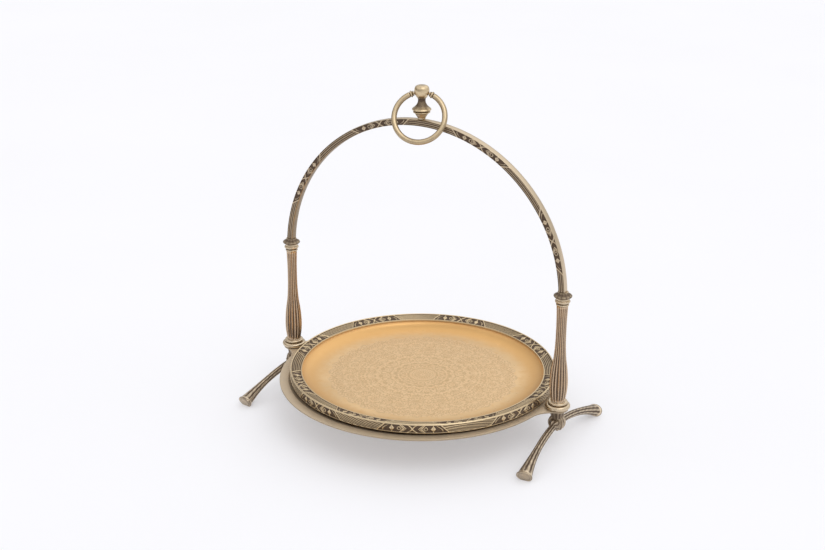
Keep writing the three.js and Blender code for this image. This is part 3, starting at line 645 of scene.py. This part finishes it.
def base_plate(sizes):
    """Plate: a lip that runs round two ears, a shallow dish and a drilled hole in each ear."""
    plate, column = sizes.plate_radius / MM, sizes.arch_radius / MM
    lip, dish_top = plate - LIP_WIDTH, PLATE_FOOT + PLATE_THICKNESS
    reach, to_ear = plate + EAR_ROOT, EAR + EAR_ROOT
    at_plate = math.acos((reach**2 + column**2 - to_ear**2) / (2 * reach * column))
    middle = Vector((reach * math.cos(at_plate), reach * math.sin(at_plate)))
    at_ear = math.atan2(middle.y, middle.x - column)
    root = at_plate - at_ear
    bm = bmesh.new()
    last = [bm.verts.new((-(column + EAR) * MM, 0, PLATE_TOP * MM))]
    for side in (-1, 1):
        for x, y, angle, steps in (
                (side * column, 0, at_ear, 16), (side * middle.x, side * middle.y, root, 20),
                (0, 0, math.pi - 2 * at_plate, 170),
                (-side * middle.x, side * middle.y, root, 20), (-side * column, 0, at_ear, 16)):
            spun = bmesh.ops.spin(bm, geom=last, cent=(x * MM, y * MM, 0), axis=(0, 0, 1),
                                  angle=angle, steps=steps)
            last = only(bmesh.types.BMVert, spun["geom_last"])
    bmesh.ops.remove_doubles(bm, verts=bm.verts, dist=1e-6)
    inner = circle(bm, lip, 360, shift(z=PLATE_TOP))
    inner = list(dict.fromkeys(edge for vert in inner for edge in vert.link_edges))
    for x in (-column, column):
        circle(bm, EAR_HOLE, 32, shift(x, z=PLATE_TOP))
    bmesh.ops.triangle_fill(bm, use_beauty=True, edges=bm.edges[:])
    slope = [(lip, PLATE_TOP), (plate - 9.2, PLATE_TOP - 0.2), (plate - 12.5, PLATE_TOP - 1),
             (plate - 15.8, dish_top + 0.2), (plate - 17, dish_top)]
    for radius, height in flowing(slope, 3)[1:]:
        grown = bmesh.ops.extrude_edge_only(bm, edges=inner)["geom"]
        inner = only(bmesh.types.BMEdge, grown)
        for vert in only(bmesh.types.BMVert, grown):
            vert.co.xy *= radius * MM / vert.co.xy.length
            vert.co.z = height * MM
    bmesh.ops.contextual_create(bm, geom=inner)
    bmesh.ops.recalc_face_normals(bm, faces=bm.faces)
    if sum(face.normal.z for face in bm.faces) < 0:
        bmesh.ops.reverse_faces(bm, faces=bm.faces)
    bmesh.ops.solidify(bm, geom=bm.faces[:], thickness=PLATE_THICKNESS * MM)
    sound(bm)
    edge = [e for e in bm.edges if e.is_manifold and e.calc_face_angle() > 1.0
            and all(v.co.xy.length > (plate - 2) * MM for v in e.verts)
            and min(abs(abs(v.co.x) - column * MM) + abs(v.co.y) for v in e.verts) > 4 * MM]
    bmesh.ops.bevel(bm, geom=edge, offset=0.42 * MM, affect="EDGES", segments=3, profile=0.5,
                    material=-1)

    def carve(place):
        """Moves nothing, but darkens the edge that runs round the plate."""
        on_side = np.abs(place[:, 2] - PLATE_TOP + PLATE_THICKNESS / 2) < 0.6
        return place, np.where(on_side & (polar(place)[0] > plate - 3), 0.0, np.nan)

    return sound(bm), carve


FOOT_TOP = levels("right_foot")[1]
FOOT_TURN = math.radians(-2.2)
CREST, KNOT_MIDDLE, CAP_MIDDLE = 22.6, 24.0, 4.5  # levels of a leg's top, the knot and an end cap
LEG_REACH, LEG_SPLAY = 77.3, 5.6
CAP_START, CAP_WIDE, CAP_DEEP = 0.9745, 7.6, 6.0
HATCH_PITCH = 1.7
KNOT_HALF = (7, 11, 6.2)


def unit(rows):
    return rows / np.linalg.norm(rows, axis=1)[:, None]


def leg_point(share):
    """Centreline of a leg: level at the knot, falling ever more steeply to the end cap."""
    far = np.abs(share)
    drop = (CREST - CAP_MIDDLE) * far**1.9
    return np.stack([LEG_SPLAY * far**1.5, LEG_REACH * share, CREST - drop], -1)


def foot(sizes):
    """Both legs of a foot in one reeded tube, each flaring to an oval cap with a sunk face.

    The tube is spun with a radius and a half length of 1, and carve bends it along the legs.
    """
    face = [(0, 1.0), (0.3, 0.9995), (0.6, 0.998), (0.76, 0.996), (0.82, 0.9955), (0.86, 0.997),
            (0.93, 0.9985), (0.98, 0.9965), (1.0, 0.993), (1.0, 0.984), (0.97, 0.979), (0.93, 0.975)]
    run = [(1.0, 0.972 * (1 - k / 56)) for k in range(112)]
    outline = [*face, *run, *[(radius, -share) for radius, share in reversed(face)]]
    bm = turned([(radius / MM, share / MM) for radius, share in outline], 8, 12)
    bmesh.ops.scale(bm, verts=bm.verts, vec=(MM, MM, MM))
    reeds, sunk = sizes.foot_reeds, sizes.reed_depth / MM

    def carve(place):
        radius, turn = polar(place)
        share = np.clip(place[:, 2], -1, 1)
        far = np.abs(share)
        capped = far > CAP_START
        flare = np.clip((far - 0.5) / 0.48, 0, 1) ** 2
        wide = np.where(capped, CAP_WIDE, 3.3 + 3.7 * flare)
        deep = np.where(capped, CAP_DEEP, 3.5 + 1.9 * flare)
        groove = np.abs(np.sin(turn * reeds / 2)) ** 0.8
        held = np.clip((0.965 - far) / 0.05, 0, 1)
        cut = (1 - groove) * sunk * held
        step = 0.004
        ahead = unit(leg_point(share + step) - leg_point(share - step))
        across = unit(-np.cross((0, 0, 1), ahead))
        up = np.cross(across, ahead)
        moved = (leg_point(share) + across * (radius * (wide - cut) * np.cos(turn))[:, None]
                 + up * (radius * (deep - cut) * np.sin(turn))[:, None])
        moved[:, 2] = np.maximum(moved[:, 2], 0)
        hatch = np.cos(LEG_REACH * share * 2 * math.pi / HATCH_PITCH + 6 * turn)
        # Grooves between the reeds are darker, patina and painted shade; a fine hatch runs across them.
        level = np.where(held > 0, groove**1.7 * (0.8 + 0.18 * hatch), np.nan)
        # The edge of the sunk face is a dark line; the face is painted bright, painted light against
        # the shade it faces down into.
        cap = np.where(np.abs(radius - 0.81) < 0.05, 0.35, 0.8)
        return moved, np.where(capped, cap, level)

    return bm, carve


def knot():
    """Knot: a leafy boss where the reeds of both legs meet."""
    bm = bmesh.new()
    bmesh.ops.create_uvsphere(bm, u_segments=140, v_segments=90, radius=MM)

    def carve(place):
        turn, rise = np.arctan2(place[:, 2], place[:, 0]), place[:, 1]
        leaves = np.cos(6 * turn + 1.6 * np.sin(6 * rise)) * 0.5 + 0.5
        tips = np.cos(9 * rise + 1.2 * np.cos(6 * turn)) * 0.5 + 0.5
        raised = np.clip(0.15 + 0.85 * np.sqrt(leaves * (0.35 + 0.65 * tips)), 0, 1)
        moved = place * KNOT_HALF * (1.03 - 0.13 * (1 - raised))[:, None]
        # The knot's relief is scaled down, painting it darker, painted shade under the plate's ear.
        return moved + (0, 0, KNOT_MIDDLE), raised * 0.7

    return bm, carve


def ribbon():
    """Ribbon: a flat band with rolled edges, to go round the knot."""
    outer = [(7.5, -1.8), (8.0, -1.65), (8.2, -1.35), (8.1, -1.0), (7.8, -0.75), (7.85, -0.3)]
    mirrored = [(radius, -height) for radius, height in reversed(outer)]
    return turned([(6.2, -1.7), *outer, *mirrored, (6.2, 1.7)], 12, 8, closed=True), None


def boss():
    """Boss: the stem of the foot that meets the plate, with shallow upright leaves."""
    low, edge = KNOT_MIDDLE + 2, FOOT_TOP - 0.6
    rows = [(5.8 + 1.7 * (k / 14) ** 3, low + (edge - low) * k / 14) for k in range(15)]
    bm = solid(low, [*rows, (7.2, FOOT_TOP - 0.1)], FOOT_TOP, 12, 10)

    def carve(place):
        radius, turn = polar(place)
        raised = np.abs(np.cos(6 * turn)) ** 0.6
        side = (radius > 5) & (place[:, 2] < FOOT_TOP - 0.65)
        moved = drawn_in(place, np.where(side, 1 - 0.07 * (1 - raised), 1))
        # The boss is painted dark between its leaves, patina and painted shade under the plate.
        return moved, np.where(side, 0.05 + 0.36 * raised, 0.5)

    return bm, carve


COLUMN_X = sum(corner.x for corner in corners("right_column_base")) / 2
SHAFT_LOW, SHAFT_HIGH = levels("right_column_shaft")
BELLY = 8.3
BALUSTER = (  # share of the height and radius
    (0.0, 6.6), (0.1, 7.97), (0.2, BELLY), (0.33, 7.39), (0.46, 5.71), (0.6, 4.86), (0.75, 4.66),
    (0.88, 4.8), (1.0, 5.25))


def shaft_radius(share):
    """Radius of the baluster, from foot to belly to waist to top."""
    shares, radii = np.array(flowing(BALUSTER, 8)).T
    return np.interp(share, shares, radii)


def column_shaft(sizes):
    """Shaft: a fluted baluster."""
    tall, flutes, depth = SHAFT_HIGH - SHAFT_LOW, sizes.flutes, sizes.flute_depth / MM
    wall = [(float(shaft_radius(k / 110)), SHAFT_LOW + tall * (k / 110)) for k in range(111)]
    bm = solid(SHAFT_LOW, wall, SHAFT_HIGH, flutes, 12)

    def carve(place):
        radius, turn = polar(place)
        share = np.clip((place[:, 2] - SHAFT_LOW) / tall, 0, 1)
        phase = (turn * flutes / (2 * math.pi)) % 1 - 0.5
        groove = np.sqrt(np.clip(1 - (phase / 0.43) ** 2, 0, 1))
        held = np.clip(np.minimum(share, 1 - share) / 0.012, 0, 1) ** 0.5
        cut = groove * depth * np.clip(shaft_radius(share) / BELLY, 0.4, 1) ** 1.4 * held
        outside = radius > 3.5
        moved = drawn_in(place, np.where(outside, 1 - cut / np.maximum(radius, 1), 1))
        # Flutes are painted darker, more towards the foot: patina and painted shade in the flutes.
        raised = 0.98 - 0.9 * groove**2 * held * np.clip(1.12 - 0.28 * share, 0, 1)
        return moved, np.where(outside, raised, 0.6)

    return bm, carve


def column_base():
    """Base: a broad torus, a quirk and a small torus."""
    low, high = levels("right_column_base")
    wall = [(9.2, low), *bead(11.65, low, 4.4, 1.98, 16), (8.1, low + 4.42),
            *bead(9.2, low + 4.5, 2.7, 1.26, 14), (6.9, high - 0.25), (6.6, high)]
    return solid(low, wall, high, 16, 8), None


def capital():
    """Capital: a bead, a groove and a broad ring."""
    low, high = levels("right_capital")
    wall = [(5.1, low), *bead(6.0, low, 1.8, 0.8, 12), (5.2, low + 1.95), (5.1, low + 2.6),
            *bead(7.0, low + 2.75, 2.7, 1.3, 14), (5.7, high - 1.5), (5.4, high - 0.4), (5.3, high)]
    return solid(low, wall, high, 14, 8), None


def ferrule():
    """Ferrule: a swelling cup of shallow leaves that the end of the arch stands in."""
    low, high = levels("right_ferrule")
    wall = flowing([(7.0, low + 0.2), (8.1, low + 0.75), (8.6, low + 1.5), (8.2, low + 2.3),
                    (7.0, low + 3.1), (5.8, low + 3.9), (5.1, low + 4.8), (4.9, high)], 5)
    bm = solid(low, [(6.6, low), *wall], high, 16, 12)

    def carve(place):
        radius, turn = polar(place)
        rise = (place[:, 2] - low) / (high - low)
        leaves = np.abs(np.cos(6 * turn)) ** 0.5 * (0.8 + 0.2 * np.cos(36 * turn))
        raised = np.clip(leaves * (0.75 + 0.25 * np.cos(14 * rise)), 0, 1)
        on_wall = (rise > 0.06) & (radius > 3) & (rise < 0.97)
        cut = (1 - raised) * 0.3
        moved = drawn_in(place, np.where(on_wall, 1 - cut / np.maximum(radius, 1), 1))
        return moved, np.where(on_wall, 0.05 + 0.5 * raised, np.nan)

    return bm, carve


ARCH_FOOT, ARCH_TOP = levels("arch_handle")
ARCH_PITCH, FIRST_ARCH_UNIT = 42.2, 22.5  # degrees
HALF_BAR, HALF_PANEL, PANEL_FRONT, PANEL_ROWS = 3.2, 2.65, 3.74, 26


def arch_handle(sizes):
    """Arch: a half round bar, ornamented in front and behind and plain inside and outside."""
    radius, depth = sizes.arch_radius / MM, sizes.arch_depth / MM
    centre = ARCH_TOP - HALF_BAR - radius
    crown = [(HALF_BAR, 0), (3.17, 1.2), (3.08, 2.3), (2.98, 3.0), (2.86, 3.5)]
    panel = [(HALF_PANEL * (1 - 2 * k / PANEL_ROWS), PANEL_FRONT) for k in range(PANEL_ROWS + 1)]
    front_side = [*crown, *panel, *[(-out, deep) for out, deep in reversed(crown)]]
    section = [*front_side, *[(out, -deep) for out, deep in reversed(front_side[1:-1])]]
    bm = bmesh.new()
    profile = chain(bm, [(radius + out, -deep, centre) for out, deep in section], closed=True)
    swept(bm, profile, 30, 34, math.pi, (0, 0, centre * MM), (0, -1, 0))
    sound(bm)
    cut = bmesh.ops.bisect_plane(bm, geom=whole(bm), clear_inner=True, plane_no=(0, 0, 1),
                                 plane_co=(0, 0, ARCH_FOOT * MM))["geom_cut"]
    bmesh.ops.holes_fill(bm, edges=only(bmesh.types.BMEdge, cut))

    def carve(place):
        out = np.hypot(place[:, 0], place[:, 2] - centre) - radius
        angle = np.degrees(np.arctan2(place[:, 2] - centre, place[:, 0]))
        angle = (angle - FIRST_ARCH_UNIT + ARCH_PITCH / 2) % ARCH_PITCH - ARCH_PITCH / 2
        raised = ribbon_and_flower(angle * math.pi / 180 * radius, out, 2.9, 28.2, -1, 1.75, 0.0)
        faces = (np.abs(out) <= HALF_PANEL + 0.01) & (np.abs(place[:, 1]) > PANEL_FRONT - 0.05)
        fade = np.clip((HALF_PANEL - np.abs(out)) / 0.35, 0, 1)
        moved = place.copy()
        moved[:, 1] -= np.sign(place[:, 1]) * np.where(faces, (1 - raised) * depth * fade, 0)
        # The outer face is painted light and the inner face dark: painted light from above and painted
        # shade underneath.
        return moved, np.where(faces, raised, np.where(out > HALF_PANEL, 0.9, 0.34))

    return bm, carve


def finial_seat():
    """Seat: a cup that flares from a stem to a rolled ring."""
    low, high = levels("finial_seat")
    stem = flowing([(3.5, low), (3.6, low + 0.7), (4.1, low + 1.8), (5.1, low + 3.2),
                    (6.1, high - 0.5), (6.5, high - 0.15), (6.4, high)], 5)
    return solid(low, stem, high, 14, 8), None


KNOB_LOW, KNOB_TOP = levels("finial_knob")
KNOB_TURN = math.radians(17.5)
PIVOT = 316.2


def finial_knob():
    """Knob: two rolled flanges, a waisted neck and a ball with a flattened top."""
    line = [(6.8, 0), (7.7, 0.25), (7.9, 0.65), (7.6, 1.1), (6.9, 1.4), (6.7, 1.8), (7.3, 2.1),
            (8.5, 2.5), (8.8, 3.0), (8.6, 3.6), (7.8, 4.4), (6.5, 5.4), (5.2, 6.7), (4.2, 8.3),
            (3.6, 10.0), (3.4, 11.5), (3.7, 12.9), (4.6, 14.2), (5.7, 15.6), (6.5, 17.2), (6.9, 19.0),
            (6.9, 20.8), (6.5, 22.7), (5.6, 24.1), (4.0, 24.95), (1.8, 25.17)]
    wall = [(radius, KNOB_LOW + height) for radius, height in flowing(line, 4)]
    return solid(KNOB_LOW, wall, KNOB_TOP, 16, 8), None


RING_RADIUS, WIRE, RING_DROP, RING_LEAN = 23.1, 2.6, 21.71, math.radians(30)
OPEN = math.asin(7.3 / RING_RADIUS)  # from the top of the ring to each of its ends
COLLARS = (  # distance from an end and radius of the block, the grooves and the collars
    (0, 2.2), (0.2, 2.4), (0.8, 2.4), (1.0, 1.95), (1.4, 1.95), (1.6, 2.8), (1.9, 3.1), (2.8, 3.1),
    (3.1, 2.8), (3.3, 1.95), (3.8, 1.95), (4.1, 2.5), (99, 2.5))
PIN, PIN_LENGTH, PIN_OUT = 1.2, 1.1, 7.2


def ring_pull():
    """Ring: a round wire with a block, grooves and a collar at each end."""
    bm = bmesh.new()
    start = spin(OPEN, "Y") @ shift(z=RING_RADIUS) @ spin(math.pi / 2, "Y")
    circle(bm, WIRE, 40, start, True)
    bmesh.ops.spin(bm, geom=whole(bm), cent=(0, 0, 0), axis=(0, 1, 0),
                   angle=2 * math.pi - 2 * OPEN, steps=420)

    def carve(place):
        turn = np.arctan2(place[:, 0], place[:, 2]) % (2 * math.pi)
        arc = (np.minimum(turn, 2 * math.pi - turn) - OPEN) * RING_RADIUS
        swell = np.interp(arc, *np.array(COLLARS).T)
        middle = np.stack([np.sin(turn), np.zeros(len(turn)), np.cos(turn)], 1) * RING_RADIUS
        flank = np.abs(place[:, 1]) / WIRE
        # Grooves are painted dark, patina and painted shade; the flanks are painted light and the inner
        # and outer edges dark, partly rubbing and partly painted highlight and dark reflection.
        wear_and_light = np.where(swell < 2.35, 0.0, 0.34 + 0.6 * flank**1.5)
        return middle + (place - middle) * (swell / WIRE)[:, None], wear_and_light

    return bm, carve


def ring_pins():
    """Pins: one at each side of the ball, for the ring to turn on."""
    bm = bmesh.new()
    for end in (-1, 1):
        spot = shift(end * PIN_OUT) @ spin(math.pi / 2, "Y")
        bmesh.ops.create_cone(bm, cap_ends=True, segments=32, radius1=PIN * MM, radius2=PIN * MM,
                              depth=PIN_LENGTH * MM, matrix=spot)
    return bm, None


# The stage

CAMERA_ANGLES = (28.72, 20.977, 0.367)  # round to the right, up and roll, in degrees
CAMERA_TARGET, CAMERA_DISTANCE = (-0.00838, 0, 0.14049), 1.29577  # metres
CAMERA_SENSOR, CAMERA_LENS = 36, 59.772
LAMPS = (  # name, power, how wide in degrees and where it shines from
    ("key", 0.55, 45, (0.435, -0.275, 0.86)), ("rear", 0.2, 70, (0.05, 0.54, 0.84)),
    ("fill", 0.25, 70, (-0.5, -0.6, 0.6)))
FLOOR_RADIUS = 8000
FLOOR_GLOW = 0.36  # how much of the floor is seen without the shadows on it


def camera_axes():
    """Level direction to the right of the view, and the camera's X, Y and Z."""
    azimuth, elevation, roll = (math.radians(angle) for angle in CAMERA_ANGLES)
    right = Vector((math.cos(azimuth), math.sin(azimuth), 0))
    level = math.cos(elevation)
    back = Vector((math.sin(azimuth) * level, -math.cos(azimuth) * level, math.sin(elevation)))
    up = back.cross(right)
    return right, (right * math.cos(roll) + up * math.sin(roll),
                   up * math.cos(roll) - right * math.sin(roll), back)


def studio(right):
    """World of a soft studio: brighter above and to the right, paler where the camera sees it."""
    make = Finish(bpy.data.worlds.new("studio"))
    direction = make.node("ShaderNodeTexCoord", output="Generated")
    x, y, height = make.axes(direction)
    uneven = make.noise(1.7, 1.0, direction) - 0.5
    aside = x * right.x + y * right.y
    level = (0.34 + aside * 0.3 + make.spread(height, 0.0, 0.65, 0.0, 0.58)
             + make.spread(height, 0.84, 0.98, 0.0, -0.3) + uneven * 0.5)
    sky = make.mix(level.held(), tone(112, 106, 100), tone(255, 255, 255))
    sky = make.mix(make.ray("Is Camera Ray"), sky, tone(250, 250, 253))
    background = make.node("ShaderNodeBackground", inputs={"Color": sky, "Strength": 1.0})
    return make.ended(background, "ShaderNodeOutputWorld")


def floor_material():
    """Nearly white table top, part of it shown as it is whatever shadow falls on it."""
    make = Finish(bpy.data.materials.new("pale floor"))
    tint = make.mix(make.noise(2.5), tone(246, 246, 250), tone(250, 250, 254))
    shader = make.node("ShaderNodeBsdfPrincipled", inputs={"Base Color": tint, "Roughness": 0.9})
    glow = make.node("ShaderNodeEmission", inputs={"Color": tint, "Strength": 1.0})
    seen = make.ray("Is Camera Ray") + make.ray("Is Glossy Ray") + make.ray("Is Transmission Ray")
    share = seen.held() * FLOOR_GLOW
    return make.ended(make.node("ShaderNodeMixShader", inputs={0: share, 1: shader, 2: glow}))


# Operators

class TrayOperator:
    """What the operators share."""

    bl_options = {"REGISTER", "UNDO"}

    def execute(self, context):
        self.build(context.scene.tray_sizes, context.scene.tray_finishes)
        return {"FINISHED"}


class TRAY_OT_stage(TrayOperator, bpy.types.Operator):
    """Set up the floor, the soft light and the camera"""

    bl_idname = "tray.stage"
    bl_label = "Stage"

    def build(self, sizes, paint):
        scene = bpy.context.scene
        scene.view_settings.view_transform = "Standard"
        right, axes = camera_axes()
        camera = linked("camera", bpy.data.cameras.new("camera"))
        camera.matrix_world = Matrix(axes).transposed().to_4x4()
        camera.matrix_world.translation = Vector(CAMERA_TARGET) + axes[2] * CAMERA_DISTANCE
        camera.data.sensor_width, camera.data.lens = CAMERA_SENSOR, CAMERA_LENS
        scene.camera = camera
        bm = bmesh.new()
        circle(bm, FLOOR_RADIUS, 96, shift(), True)
        mesh = mesh_of("floor", bm)
        mesh.materials.append(floor_material())
        floor = linked("floor", mesh)
        scene.world = studio(right)
        for name, power, wide, source in LAMPS:
            lamp = bpy.data.lights.new(name, "SUN")
            lamp.energy, lamp.angle = power, math.radians(wide)
            linked(name, lamp).rotation_euler = Vector(source).to_track_quat("Z", "Y").to_euler()


class TRAY_OT_plate(TrayOperator, bpy.types.Operator):
    """Make the spun plate with its dish and ears"""

    bl_idname = "tray.plate"
    bl_label = "Plate"

    def build(self, sizes, paint):
        metal = brass("satin brass plate", paint, paint.plate, 0.48, 0.16, 0.75, 0.12, 0.6,
                      spun=True)
        piece("plate", base_plate(sizes), metal, "stand", "plate_brass", ["base_plate"])


class TRAY_OT_tray(TrayOperator, bpy.types.Operator):
    """Make the engraved pan and the ornamented rim"""

    bl_idname = "tray.tray"
    bl_label = "Tray"

    def build(self, sizes, paint):
        gold = brass("warm engraved brass", paint, paint.pan, 0.32, 0.3, 1.1, 0.1,
                     spun=True, centre=TRAY_CENTRE)
        aged = brass("aged cast rim", paint, paint.rim, 0.32, 0.44, 0.57)
        piece("pan", tray_pan(sizes), gold, "tray", "pan_brass", ["tray_pan"], TRAY_SEAT)
        for name, upright in (("rim_top", False), ("rim_side", True)):
            shape = rim_piece(sizes, upright)
            piece(name, shape, aged, "tray", "rim_brass", ["tray_rim"], TRAY_SEAT)


def both_sides(turn=0.0):
    """Name and place of the right and the left column, each turned about its own axis."""
    for side, around in (("right", 0.0), ("left", math.pi)):
        yield side, spin(around, "Z") @ shift(COLUMN_X) @ spin(turn, "Z")


class TRAY_OT_feet(TrayOperator, bpy.types.Operator):
    """Make both reeded feet with their bound knots"""

    bl_idname = "tray.feet"
    bl_label = "Feet"

    def build(self, sizes, paint):
        cast = brass("aged cast foot", paint, paint.foot, 0.32, 0.46, 0.58, 0.5)
        # A darker copy of the foot's brass for the knot, boss and ribbons: painted shade under the
        # plate's ear.
        shaded_cast = brass("shaded cast knot", paint, scaled(paint.foot, 0.66, 0.64, 0.62),
                    0.32, 0.46, 0.66, 0.4)
        for side, seat in both_sides(FOOT_TURN):
            parts = [("legs", foot(sizes), cast, seat), ("knot", knot(), shaded_cast, seat),
                     ("boss", boss(), shaded_cast, seat)]
            for end, lean in (("front", -34), ("back", 34)):
                around = shift(z=KNOT_MIDDLE) @ spin(math.radians(lean), "Z") @ spin(math.pi / 2, "X")
                parts.append((f"ribbon_{end}", ribbon(), shaded_cast, seat @ around))
            for name, shape, metal, place in parts:
                piece(f"{side}_{name}", shape, metal, "stand", "foot_brass", [f"{side}_foot"], place)


class TRAY_OT_columns(TrayOperator, bpy.types.Operator):
    """Make the column bases, fluted shafts, capitals and ferrules"""

    bl_idname = "tray.columns"
    bl_label = "Columns"

    def build(self, sizes, paint):
        brown = brass("brown aged column", paint, paint.column, 0.26, 0.4, 0.6)
        cast = brass("aged cast ferrule", paint, paint.arch, 0.32, 0.45, 0.62)
        plain = brass("worn turned base", paint, paint.arch, 0.26, 0.46, 0.68)
        for side, seat in both_sides():
            # 60 rounds and a 0.3 mm span spread the relief over whole tori: patina and painted shade in
            # the quirks, rubbing and painted highlight on the crests.
            for name, shape, metal, slot, node, *wear_and_light in (
                    ("base", column_base(), plain, "column_brass", "column_base", 60, 0.3),
                    ("shaft", column_shaft(sizes), brown, "column_brass", "column_shaft"),
                    ("cap", capital(), plain, "column_brass", "capital", 60, 0.25),
                    ("cup", ferrule(), cast, "arch_brass", "ferrule")):
                piece(f"{side}_{name}", shape, metal, "stand", slot, [f"{side}_{node}"], seat, *wear_and_light)


class TRAY_OT_arch(TrayOperator, bpy.types.Operator):
    """Make the arched handle with its ornamented faces"""

    bl_idname = "tray.arch"
    bl_label = "Arch"

    def build(self, sizes, paint):
        metal = brass("aged chased arch", paint, paint.arch, 0.32, 0.48, 0.58)
        piece("arch", arch_handle(sizes), metal, "stand", "arch_brass", ["arch_handle"])


class TRAY_OT_finial(TrayOperator, bpy.types.Operator):
    """Make the seat, the ball on its neck and the ring that hangs from it"""

    bl_idname = "tray.finial"
    bl_label = "Finial and ring"

    def build(self, sizes, paint):
        cup = brass("worn brass seat", paint, paint.arch, 0.3, 0.42, 0.62)
        metal = brass("yellow worn brass", paint, paint.ring, 0.3, 0.44, 0.7)
        turn = spin(KNOB_TURN, "Z")
        pivot = shift(z=PIVOT) @ turn
        hang = pivot @ spin(-RING_LEAN, "X") @ shift(z=-RING_DROP)
        # 60 rounds and a 0.3 mm span paint the necks and undersides of the seat and knob dark, patina
        # and painted shade, and their crests light, rubbing and painted highlight.
        piece("seat", finial_seat(), cup, "stand", "arch_brass", ["finial_seat"], None, 60, 0.3)
        piece("knob", finial_knob(), metal, "stand", "ring_brass", ["finial_knob"], turn, 60, 0.3)
        piece("ring", ring_pull(), metal, "ring", "ring_brass", ["ring_pull"], hang)
        piece("pins", ring_pins(), metal, "ring", "ring_brass", ["ring_axle"], pivot)


class TRAY_OT_fasteners(TrayOperator, bpy.types.Operator):
    """Give the screws, washers and studs their steel"""

    bl_idname = "tray.fasteners"
    bl_label = "Fasteners"

    def build(self, sizes, paint):
        metal = steel("turned steel", paint.steel)
        for name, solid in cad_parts.items():
            if name.endswith(("_screw", "_washer", "_stud")):
                for holder in solid.material_slots:
                    holder.material = metal


OPERATORS = (TRAY_OT_stage, TRAY_OT_plate, TRAY_OT_tray, TRAY_OT_feet, TRAY_OT_columns, TRAY_OT_arch,
             TRAY_OT_finial, TRAY_OT_fasteners)


class TRAY_PT_sidebar(bpy.types.Panel):
    """Builds the tray piece by piece"""

    bl_label = "Hanging serving tray"
    bl_space_type = "VIEW_3D"
    bl_region_type = "UI"
    bl_category = "Tray"

    def draw(self, context):
        for operator in OPERATORS:
            self.layout.operator(operator.bl_idname)
        for group in (context.scene.tray_sizes, context.scene.tray_finishes):
            for name in group.__annotations__:
                self.layout.prop(group, name)


CLASSES = (TraySizes, TrayFinishes, *OPERATORS, TRAY_PT_sidebar)


def register():
    for cls in CLASSES:
        bpy.utils.register_class(cls)
    bpy.types.Scene.tray_sizes = bpy.props.PointerProperty(type=TraySizes)
    bpy.types.Scene.tray_finishes = bpy.props.PointerProperty(type=TrayFinishes)


def unregister():
    del bpy.types.Scene.tray_finishes
    del bpy.types.Scene.tray_sizes
    for cls in reversed(CLASSES):
        bpy.utils.unregister_class(cls)


def main():
    register()
    for operator in OPERATORS:
        group, name = operator.bl_idname.split(".")
        getattr(getattr(bpy.ops, group), name)()


if __name__ == "__main__":
    main()
